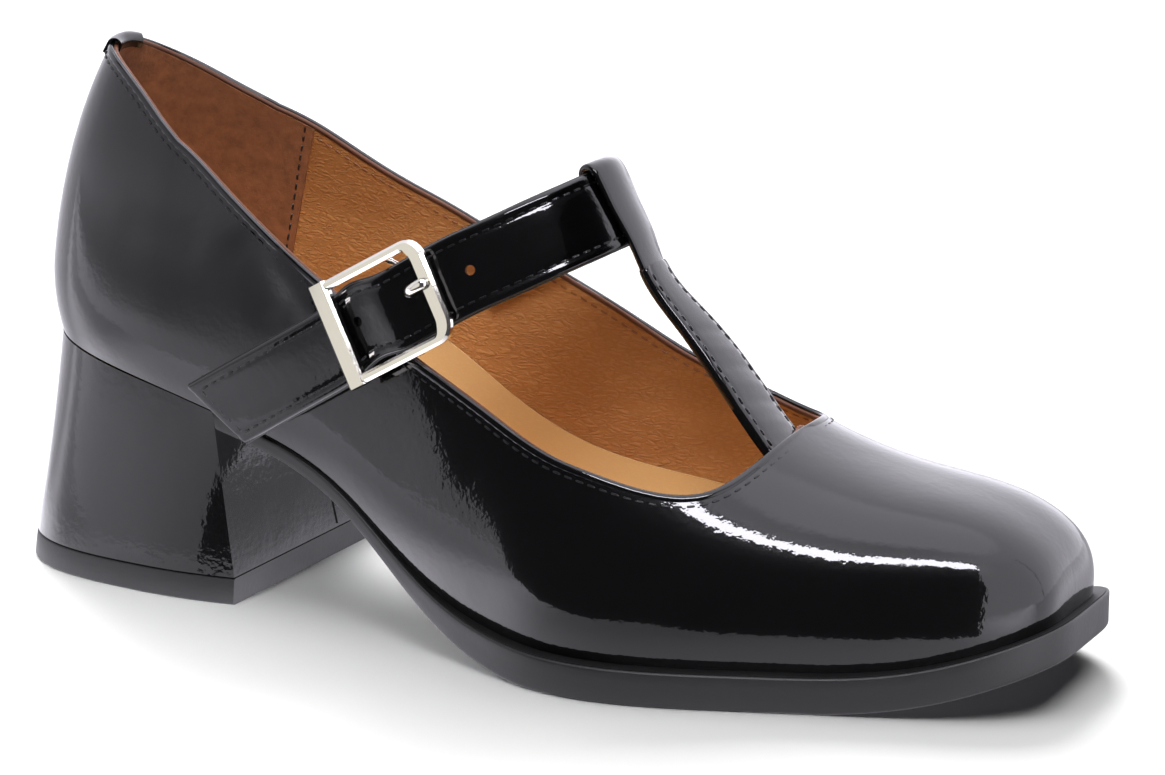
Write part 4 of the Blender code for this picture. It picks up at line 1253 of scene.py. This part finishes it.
def t_point(at, aside, out):
    """Points of the T-bar by length along it, aside from its middle and out from its centre line."""
    at, aside, out = (v.ravel() for v in np.broadcast_arrays(np.asarray(at, float), aside, out))
    line, ahead = line_at(T_CURVE, at, 0.3)
    flat = line + np.stack([ahead[:, 1], -ahead[:, 0]], 1) * out[:, None]
    local = flat - T_HEART
    onto_strap = smooth((t_share(at) - T_ONTO) / (1 - T_ONTO))[:, None]
    looped = strap_point(T_RUN + aside, local @ T_WIDE, local @ T_OUT)
    plain = np.stack([flat[:, 0], T_CENTRE_Y + aside, flat[:, 1] - aside**2 / (2 * T_ARCH_RADIUS)], 1)
    return plain + (looped - plain) * onto_strap


def t_half(at):
    """Half of the bar's width at a length, narrower at its neck."""
    width = T_WIDTH_THROAT + (T_WIDTH_TOP - T_WIDTH_THROAT) * t_share(at)
    return width / 2 * (1 - T_NECK * np.exp(-(((at - T_NECK_AT) / T_NECK_HALF) ** 2)))


def round_edges(edge, count):
    """Shares across a band from -1 to 1, with points for a rounding past the edge share, and its drop."""
    side = np.linspace(edge, 1, count)[1:]
    share = np.concatenate([-side[::-1], np.linspace(-edge, edge, 25), side])
    rounding = np.clip((abs(share) - edge) / (1 - edge), 0, 1)
    return share, 1 - np.sqrt(1 - rounding**2)


def band_loop(at, share, half, top, bottom):
    """One section of the T-bar between two out lines across its width."""
    aside = np.concatenate([share, share[::-1]]) * -half
    return t_point(at, aside, np.concatenate([top, bottom[::-1]]))


# Edge of the T-bar: share across where its rounding starts, and its drop on the face and on the back
T_EDGE = 0.86
T_EDGE_DROP = 0.5
T_BACK_DROP = 0.3
# The T-bar's stitched lower bar, as lengths along the T-bar: ends, rise over it, growth aside and corner
BAR_FROM = 7.0
BAR_TO = 64.0
BAR_GROW = 0.6
BAR_ASIDE = 0.3
BAR_UNDER = 0.25
BAR_TURN = 2.0
BAR_CORNER = 1.6
BAR_CORNER_NARROW = 0.16
BAR_CORNER_DROP = 0.3
BAR_EDGE = 0.8
BAR_EDGE_DROP = 0.75
BAR_GROOVE = 0.14
BAR_GROOVE_AT = 1.5
BAR_GROOVE_HALF = 0.45
BAR_ROW_INSET = 1.2
BAR_ROW_ENDS = (4.0, 1.5)
# Wrinkles across it: place along and depth, then their lean and half width
BAR_WRINKLES = (
    (16.0, 0.14), (21.0, -0.11), (26.5, 0.16), (31.0, -0.12), (35.5, 0.16), (40.0, -0.11), (45.0, 0.12),
)
WRINKLE_LEAN = 2.0
WRINKLE_HALF = 1.5


def build_t_strap():
    """The T-bar and the loop at its top."""
    end = T_LENGTHS[-1]
    tip = np.linspace(0, 1, 4)
    along = np.concatenate([tip[:-1], np.linspace(1, end - 1, 230), end - 1 + tip[1:]])
    share, drop = round_edges(T_EDGE, 6)
    top = T_THICK / 2 - T_EDGE_DROP * drop
    bottom = T_BACK_DROP * drop - T_THICK / 2
    loops = [band_loop(at, share, t_half(at), top, bottom) for at in along]
    piece("t_strap_patent", *swept(np.array(loops)), patent, "patent_leather", ["t_strap"], sharp=60)


def build_t_bar_cover():
    """The thicker bar sewn over the foot of the loop, with soft wrinkles across it."""
    turned = BAR_TO - BAR_TURN + BAR_TURN * np.sin(np.linspace(0.1, 1.57, 12))
    share, drop = round_edges(BAR_EDGE, 8)
    dome = BAR_EDGE_DROP * drop
    bottom = 0.4 * dome - T_THICK / 2 - BAR_UNDER
    loops = []
    for at in np.concatenate([np.linspace(BAR_FROM, BAR_TO - BAR_TURN, 150), turned]):
        near = max(0.0, 1 - (BAR_TO - at) / BAR_CORNER)
        half = (t_half(at) + BAR_ASIDE) * (1 - BAR_CORNER_NARROW * (1 - math.sqrt(1 - near * near)))
        folds = sum(depth * np.exp(-((at - place - WRINKLE_LEAN * share) / WRINKLE_HALF) ** 2)
                    for place, depth in BAR_WRINKLES)
        from_edge = (1 - abs(share)) * half
        groove = BAR_GROOVE * np.exp(-((from_edge - BAR_GROOVE_AT) / BAR_GROOVE_HALF) ** 2)
        rise = BAR_GROW * (1 - BAR_CORNER_DROP * near**2)
        top = T_THICK / 2 + rise - dome - groove - folds * (1 - share**4)
        loops.append(band_loop(at, share, half, top, bottom))
    piece("t_bar_cover", *swept(np.array(loops)), patent, "patent_leather", sharp=60)
    line = np.linspace(BAR_FROM + BAR_ROW_ENDS[0], BAR_TO - BAR_ROW_ENDS[1], 300)
    aside = t_half(line) - BAR_ROW_INSET
    seat = T_THICK / 2 + BAR_GROW - BAR_GROOVE
    rows = [sewn(t_point, line, side * aside, seat) for side in (-1, 1)]
    piece("t_bar_stitching", *joined(rows), black_thread, "patent_leather")


# Buckle

def chamfered(half_wide, half_high, edge):
    """Outline of a bar with chamfered edges, across and up."""
    corner = ((1, 0), (0, 1))
    points = []
    for sx, sy in ((1, 1), (-1, 1), (-1, -1), (1, -1)):
        pair = [(sx * (half_wide - edge * a), sy * (half_high - edge * b)) for a, b in corner]
        points += pair[::-1] if sx * sy > 0 else pair
    return np.array(points)


FRAME_SIDE = 2.1
FRAME_BAR = 3.8
FRAME_INWARD = 0.3
FRAME_HIGH = 2.2
FRAME_CHAMFER = 0.6
KEEPER_RISE = 0.15
KEEPER_CHAMFER = 0.55
KEEPER_OVER = 1.2
# Pivot bar from the frame's side down and across: inset from the side and out from the strap's middle
PIVOT_BEND = ((0.0, FRAME_LIFT), (0.0, -1.0), (0.5, -2.6), (1.6, PIVOT_DROP))
PRONG_THICK = 1.3
PRONG_ASIDE = 1.3
PRONG_SHORT = 1.2
PRONG_REST = FRAME_LIFT + FRAME_HIGH / 2 + 0.35
# The prong on its way through the strap: along from the hole and out from the strap's middle
PRONG_THROUGH = (
    (-1.2, -2.9), (-0.5, -1.5), (0.0, 0.0), (0.6, 1.6), (1.4, PRONG_REST - 0.6), (2.6, PRONG_REST),
)


def build_buckle():
    """The square frame, its flat keeper bar and the hidden pivot bar, as one body."""
    long, wide = BUCKLE_LONG / 2, BUCKLE_WIDE / 2
    path = [(-long, wide)]
    for turn in np.radians(np.linspace(90, 0, 9)):
        away = BUCKLE_CORNER * (1 - math.cos(turn))
        path.append((long - away, wide - BUCKLE_CORNER * (1 - math.sin(turn))))
    path += [(a, -b) for a, b in reversed(path)]
    ahead = unit(np.gradient(np.array(path), axis=0))
    loops = []
    for (a, b), way in zip(path, ahead):
        bar = FRAME_SIDE + (FRAME_BAR - FRAME_SIDE) * smooth((a - long + BUCKLE_CORNER) / BUCKLE_CORNER)
        across, up = chamfered(bar / 2, FRAME_HIGH / 2, FRAME_CHAMFER).T
        inner = a - FRAME_INWARD * (bar - FRAME_SIDE)
        loops.append(buckle_point(inner - way[1] * across, b + way[0] * across, FRAME_LIFT + up))
    frame_body = swept(np.array(loops))
    body = piece("buckle_body", *frame_body, nickel, "polished_nickel", ["buckle_frame"], sharp=25)
    across, up = chamfered(KEEPER_WIDE / 2, FRAME_HIGH / 2 + KEEPER_RISE, KEEPER_CHAMFER).T
    ends = (wide + KEEPER_OVER, -wide - KEEPER_OVER)
    keeper = [buckle_point(across - long, end, FRAME_LIFT + up) for end in ends]
    cut(body, *swept(np.array(keeper)), "UNION")
    bend = [(inset - wide, out) for inset, out in PIVOT_BEND]
    bend += [(-b, out) for b, out in reversed(bend)]
    cut(body, *rod([buckle_point(PIVOT_PLACE, b, out) for b, out in bend], PIVOT_RADIUS, 12), "UNION")


def build_prong():
    """The prong, curled round the pivot bar, up through the strap's hole and onto the frame."""
    ring = PIVOT_RADIUS + GAP + PRONG_THICK * 0.8
    curl = [(PIVOT_PLACE - ring * math.sin(turn), PIVOT_DROP + ring * math.cos(turn))
            for turn in np.radians(np.linspace(200, -60, 14))]
    curl += [(PRONG_HOLE + a, out) for a, out in PRONG_THROUGH]
    curl.append((BUCKLE_LONG / 2 - PRONG_SHORT, PRONG_REST + 0.1))
    curl = np.array(curl)
    run = lengths(curl)
    at = np.linspace(0, run[-1], 60)
    path = buckle_point(spline(run, curl[:, 0])(at), PRONG_ASIDE, spline(run, curl[:, 1])(at))
    tongue = rod(path, PRONG_THICK, 16, round_end=True)
    piece("buckle_tongue", *tongue, nickel, "polished_nickel", ["buckle_prong"])


def build_back_tab():
    """The small tab folded over the collar at the back seam."""
    reach = np.linspace(0, BACK_TAB_REACH, 16)
    heads, up = [], []
    for side, places in (("medial", reach[:0:-1]), ("lateral", reach)):
        stations, tops = topline(side, 400)
        for place in places:
            top = float(np.interp(place, stations, tops))
            head, low = profile(place, side, [top, top - TAB_STEP])
            heads.append(head)
            up.append(head - low)
    heads = np.array(heads)
    up = unit(np.array(up))
    out = unit(np.cross(np.gradient(heads, axis=0), up))
    out *= np.sign(-out[len(out) // 2, 0])
    grids = []
    for grow in (BACK_TAB_THICK, 0.0):
        radius = WALL / 2 + GAP / 2 + grow
        legs = [(radius, -BACK_TAB_DROP * k / 6) for k in range(6, 0, -1)]
        legs += [(radius * math.cos(t), radius * math.sin(t)) for t in np.linspace(0, math.pi, 15)]
        legs += [(-radius, -BACK_TAB_INSIDE * k / 3) for k in range(1, 4)]
        grids.append(np.stack([heads + out * (n - WALL / 2) + up * v for n, v in legs], 1))
    piece("back_tab_fold", *slab(*grids), patent, "patent_leather", ["back_tab"], sharp=60)


build_upper()
build_collar()
build_heel_grip()
build_outsole()
build_heel()
build_top_lift()
build_insole()
build_ankle_strap()
build_strap_trim()
build_t_strap()
build_t_bar_cover()
build_buckle()
build_prong()
build_back_tab()
frame["nodes"]["buckle_tab"].data.materials.clear()
frame["nodes"]["buckle_tab"].data.materials.append(patent)


# Camera, floor and light

CAMERA_AT = (605.3, -802.1, 333.8)
CAMERA_AZIMUTH = 30.29
CAMERA_ELEVATION = 16.77
CAMERA_LENS = 137.66
SENSOR_WIDE = 36.0
CLIP_START = 50.0


def build_camera():
    """The camera at the photograph's place and angle."""
    azimuth, elevation = math.radians(CAMERA_AZIMUTH), math.radians(CAMERA_ELEVATION)
    level = math.cos(elevation)
    back = Vector((math.sin(azimuth) * level, -math.cos(azimuth) * level, math.sin(elevation)))
    camera = bpy.data.objects.new("camera", bpy.data.cameras.new("camera"))
    camera.location = placed(CAMERA_AT)
    camera.rotation_euler = back.to_track_quat("Z", "Y").to_euler()
    camera.data.lens = CAMERA_LENS
    camera.data.sensor_fit = "HORIZONTAL"
    camera.data.sensor_width = SENSOR_WIDE
    camera.data.clip_start = CLIP_START * MM
    bpy.context.scene.collection.objects.link(camera)
    bpy.context.scene.camera = camera


# The shoe stands in a tent of white light. The tent's front has a dark opening, which the gloss shows
# as a black window with sharp edges: x of its sides, y of the front, then the front's left end and height.
OPENING_LEFT = 26.0
OPENING_RIGHT = 343.0
TENT_FRONT = -128.0
TENT_LEFT = -1500.0
TENT_HIGH = 360.0
FLOOR_HALF = 4000.0
# Front edge of the floor that the gloss shows, left to right
SHEET_FRONT = ((60.0, -105.0), (110.0, -92.0), (185.0, -95.0), (205.0, -72.0), (240.0, -52.0),
               (262.0, -36.0), (343.0, -128.0))
# Far end of the card at the right in plan, and its height at both ends
RIGHT_CARD_END = (700.0, 150.0)
RIGHT_CARD_HIGH = (240.0, 660.0)
GLOSS_TINT = (0.98, 0.96, 1.05)
# Brightness in the gloss of the floor and of the cards, along their axes in millimetres
FLOOR_GLOW = (
    ("X", ((-100, 1.3), (-35, 2.1), (20, 1.6), (56, 1.55), (86, 2.2), (135, 1.1), (250, 0.95), (290, 2.1))),
    # Along y the floor's glow drops to 0.75 under the shoe: a painted shadow of the shoe on the floor that
    # the gloss sees.
    ("Y", ((-100, 0.9), (-70, 1.0), (-42, 1.4), (-25, 1.4), (5, 0.75))),
)
CARD_GLOW = (
    ("Z", ((0, 1.6), (34, 1.6), (52, 0.85), (76, 0.78), (104, 1.05), (150, 0.9), (360, 0.85))),
    ("X", ((-1500, 1.05), (-250, 1.05), (-40, 0.95), (26, 0.62))),
)
RIGHT_GLOW = (("X", ((343, 1.9), (700, 2.1))),)
GLOW_MOST = 3.0
GLOW_LIFT = 0.05
# What the gloss sees far off: brightness at the left, at the right, overhead and in the dark front,
# and of the plain white that the eye sees
WORLD_LEFT = 1.0
WORLD_RIGHT = 2.1
WORLD_TOP = 2.6
WORLD_DARK = 0.07
WORLD_SEEN = 1.3
# Where it changes: shares of x and y in the way to the right, and that way's start and end of the change,
# azimuths in degrees of the dark front's two sides, and the height of a view's way at its top and overhead
RIGHT_WAY = (0.8, 0.6)
RIGHT_CHANGE = (-0.7, 0.35)
FRONT_LEFT = (-80, -74)
FRONT_RIGHT = (112, 106)
FRONT_TOP = (0.83, 0.79)
OVERHEAD = (0.90, 0.95)


def stage_sheet(name, corners, material):
    """A flat sheet beside or under the shoe, from its corners in millimetres."""
    sheet = mesh_thing(name, corners, [range(len(corners))], material)
    return sheet


def glow_sheet(name, corners, ramps):
    """A sheet that only the gloss sees, with a brightness that changes along its axes."""
    material, tree, shader, place = new_material(name)
    tree.nodes.remove(shader)
    axes = node(tree, "SeparateXYZ", Vector=place).outputs
    total = 1.0
    for axis, stops in ramps:
        low, high = stops[0][0], stops[-1][0]
        centre = LAYOUT_CENTRE[0] if axis == "X" else 0.0
        ramp = node(tree, "ValToRGB", Fac=remap(tree, axes[axis], (low - centre) * MM, (high - centre) * MM))
        ramp.color_ramp.interpolation = "CARDINAL"
        while len(ramp.color_ramp.elements) < len(stops):
            ramp.color_ramp.elements.new(0.5)
        for element, (at, value) in zip(ramp.color_ramp.elements, stops):
            element.position = (at - low) / (high - low)
            element.color = (value / GLOW_MOST, value / GLOW_MOST, value / GLOW_MOST, 1)
        level = maths(tree, "MULTIPLY", ramp.outputs["Color"], GLOW_MOST)
        total = maths(tree, "MULTIPLY", total, level)
    light = node(tree, "Emission", Color=(*GLOSS_TINT, 1), Strength=total)
    fill(tree.nodes["Material Output"], Surface=light.outputs[0])
    sheet = stage_sheet(name, corners, material)
    sheet.visible_camera = False
    sheet.visible_diffuse = False
    sheet.visible_shadow = False
    return sheet


def build_floor():
    """A plain white floor. The gloss sees a sheet that ends at the tent's opening in its place."""
    material, _, shader, _ = new_material("floor_paper")
    fill(shader, Base_Color=(0.86, 0.86, 0.86, 1), Roughness=0.9, Specular_IOR_Level=0.0)
    far = FLOOR_HALF
    corners = ((-far, -far, 0), (far, -far, 0), (far, far, 0), (-far, far, 0))
    stage_sheet("floor_sheet", corners, material).visible_glossy = False
    edge = [(-far, TENT_FRONT), (OPENING_LEFT, TENT_FRONT), *SHEET_FRONT]
    edge += [(far, SHEET_FRONT[-1][1]), (far, far), (-far, far)]
    glow_sheet("floor_glow", [(x, y, GLOW_LIFT) for x, y in edge], FLOOR_GLOW)


def build_cards():
    """The tent's front on both sides of its opening."""
    left = ((TENT_LEFT, 0), (OPENING_LEFT, 0), (OPENING_LEFT, TENT_HIGH), (TENT_LEFT, TENT_HIGH))
    glow_sheet("left_card", [(x, TENT_FRONT, z) for x, z in left], CARD_GLOW)
    near, far = (OPENING_RIGHT, TENT_FRONT), RIGHT_CARD_END
    low, high = RIGHT_CARD_HIGH
    right = glow_sheet("right_card", ((*near, 0), (*far, 0), (*far, high), (*near, low)), RIGHT_GLOW)
    choose_lit(right, ["ankle_strap_patent", "strap_stitching"], "EXCLUDE")


def build_world():
    """What the gloss sees far off: white all round, dark in front. The eye sees plain white."""
    world = bpy.data.worlds.new("studio")
    bpy.context.scene.world = world
    world.use_nodes = True
    tree = world.node_tree
    way = node(tree, "SeparateXYZ", Vector=node(tree, "TexCoord").outputs["Generated"])

    def times(value, other):
        return maths(tree, "MULTIPLY", value, other)

    def blend(first, second, share):
        """The first where the share is 0, the second where it is 1."""
        return maths(tree, "ADD", times(first, maths(tree, "SUBTRACT", 1.0, share)), times(second, share))

    def ramp(value, low, high, from_level=0.0, to_level=1.0):
        return remap(tree, value, low, high, from_level, to_level, "SMOOTHSTEP")

    east, north, up = (way.outputs[k] for k in "XYZ")
    azimuth = maths(tree, "ARCTAN2", east, times(north, -1.0))
    towards_right = maths(tree, "ADD", times(east, RIGHT_WAY[0]), times(north, RIGHT_WAY[1]))
    sides = ramp(towards_right, *RIGHT_CHANGE, WORLD_LEFT, WORLD_RIGHT)
    front = times(ramp(azimuth, *map(math.radians, FRONT_LEFT)),
                  ramp(azimuth, *map(math.radians, FRONT_RIGHT)))
    lit = blend(sides, WORLD_TOP, ramp(up, *OVERHEAD))
    lit = blend(lit, WORLD_DARK, times(front, ramp(up, *FRONT_TOP)))
    shown = blend(lit, WORLD_SEEN, node(tree, "LightPath").outputs["Is Camera Ray"])
    fill(tree.nodes["Background"], Color=(*GLOSS_TINT, 1), Strength=shown)
    world.cycles_visibility.diffuse = False


def area_light(name, at, towards, wide, high, radiance, gloss):
    """A rectangular lamp of a given radiance, in millimetres, that only gloss or only matt surfaces see."""
    lamp = bpy.data.lights.new(name, "AREA")
    lamp.shape = "RECTANGLE"
    lamp.size = wide * MM
    lamp.size_y = high * MM
    lamp.energy = radiance * math.pi * wide * high * MM * MM
    lamp.color = GLOSS_TINT if gloss else (1.0, 1.0, 1.0)
    thing = bpy.data.objects.new(name, lamp)
    thing.location = placed(at)
    thing.rotation_euler = (Vector(at) - Vector(towards)).to_track_quat("Z", "Y").to_euler()
    thing.visible_camera = False
    thing.visible_diffuse = not gloss
    thing.visible_glossy = gloss
    bpy.context.scene.collection.objects.link(thing)
    return thing


def choose_lit(lamp, names, state):
    """Light only the named pieces (INCLUDE) or all but them (EXCLUDE)."""
    chosen = bpy.data.collections.new(lamp.name + "_lit")
    for name in names:
        chosen.objects.link(bpy.data.objects[name])
    for entry in chosen.collection_objects:
        entry.light_linking.link_state = state
    lamp.light_linking.receiver_collection = chosen


# Lamps: name, place, the place that they look at, width, height, radiance and whether only gloss sees them
LAMPS = (
    ("strip_lamp", (444, -546, 724), (200, -22, 35), 560, 110, 24.0, True),
    ("metal_card", (-98, -376, 75), (108, -33, 75), 420, 420, 0.78, True),
    ("key_light", (-1132, 1575, 2160), (120, 0, 40), 1200, 1200, 21.0, False),
    ("top_light", (300, 600, 6000), (300, 600, 0), 6000, 6000, 3.4, False),
    ("arch_fill", (20, -420, 300), (66, -42, 0), 60, 60, 1.0, False),
    ("inside_light", (330, -560, 760), (120, 10, 60), 400, 400, 11.0, False),
)
METAL_TINT = (1.02, 1.0, 0.93)
# The arch fill is a soft spot on the floor between heel and sole
ARCH_POWER = 5.0
ARCH_SPREAD = 28.0
ARCH_SOFT = 60.0


def build_lights():
    """Lamps that only the gloss sees, and soft lamps for the matt surfaces."""
    lamps = {row[0]: area_light(*row) for row in LAMPS}
    lamps["metal_card"].data.color = METAL_TINT
    choose_lit(lamps["metal_card"], ["buckle_body", "buckle_tongue"], "INCLUDE")
    arch = lamps["arch_fill"]
    arch.data.type = "SPOT"
    arch.data.energy = ARCH_POWER
    arch.data.spot_size = math.radians(ARCH_SPREAD)
    arch.data.spot_blend = 1.0
    arch.data.shadow_soft_size = ARCH_SOFT * MM
    choose_lit(arch, ["floor_sheet"], "INCLUDE")
    linings = ["upper_lining", "sock_sheet", "heel_grip", "lining_stitching", "grip_stitching"]
    choose_lit(lamps["inside_light"], linings, "INCLUDE")


build_camera()
build_floor()
build_cards()
build_world()
build_lights()
bpy.context.scene.view_settings.view_transform = "Standard"
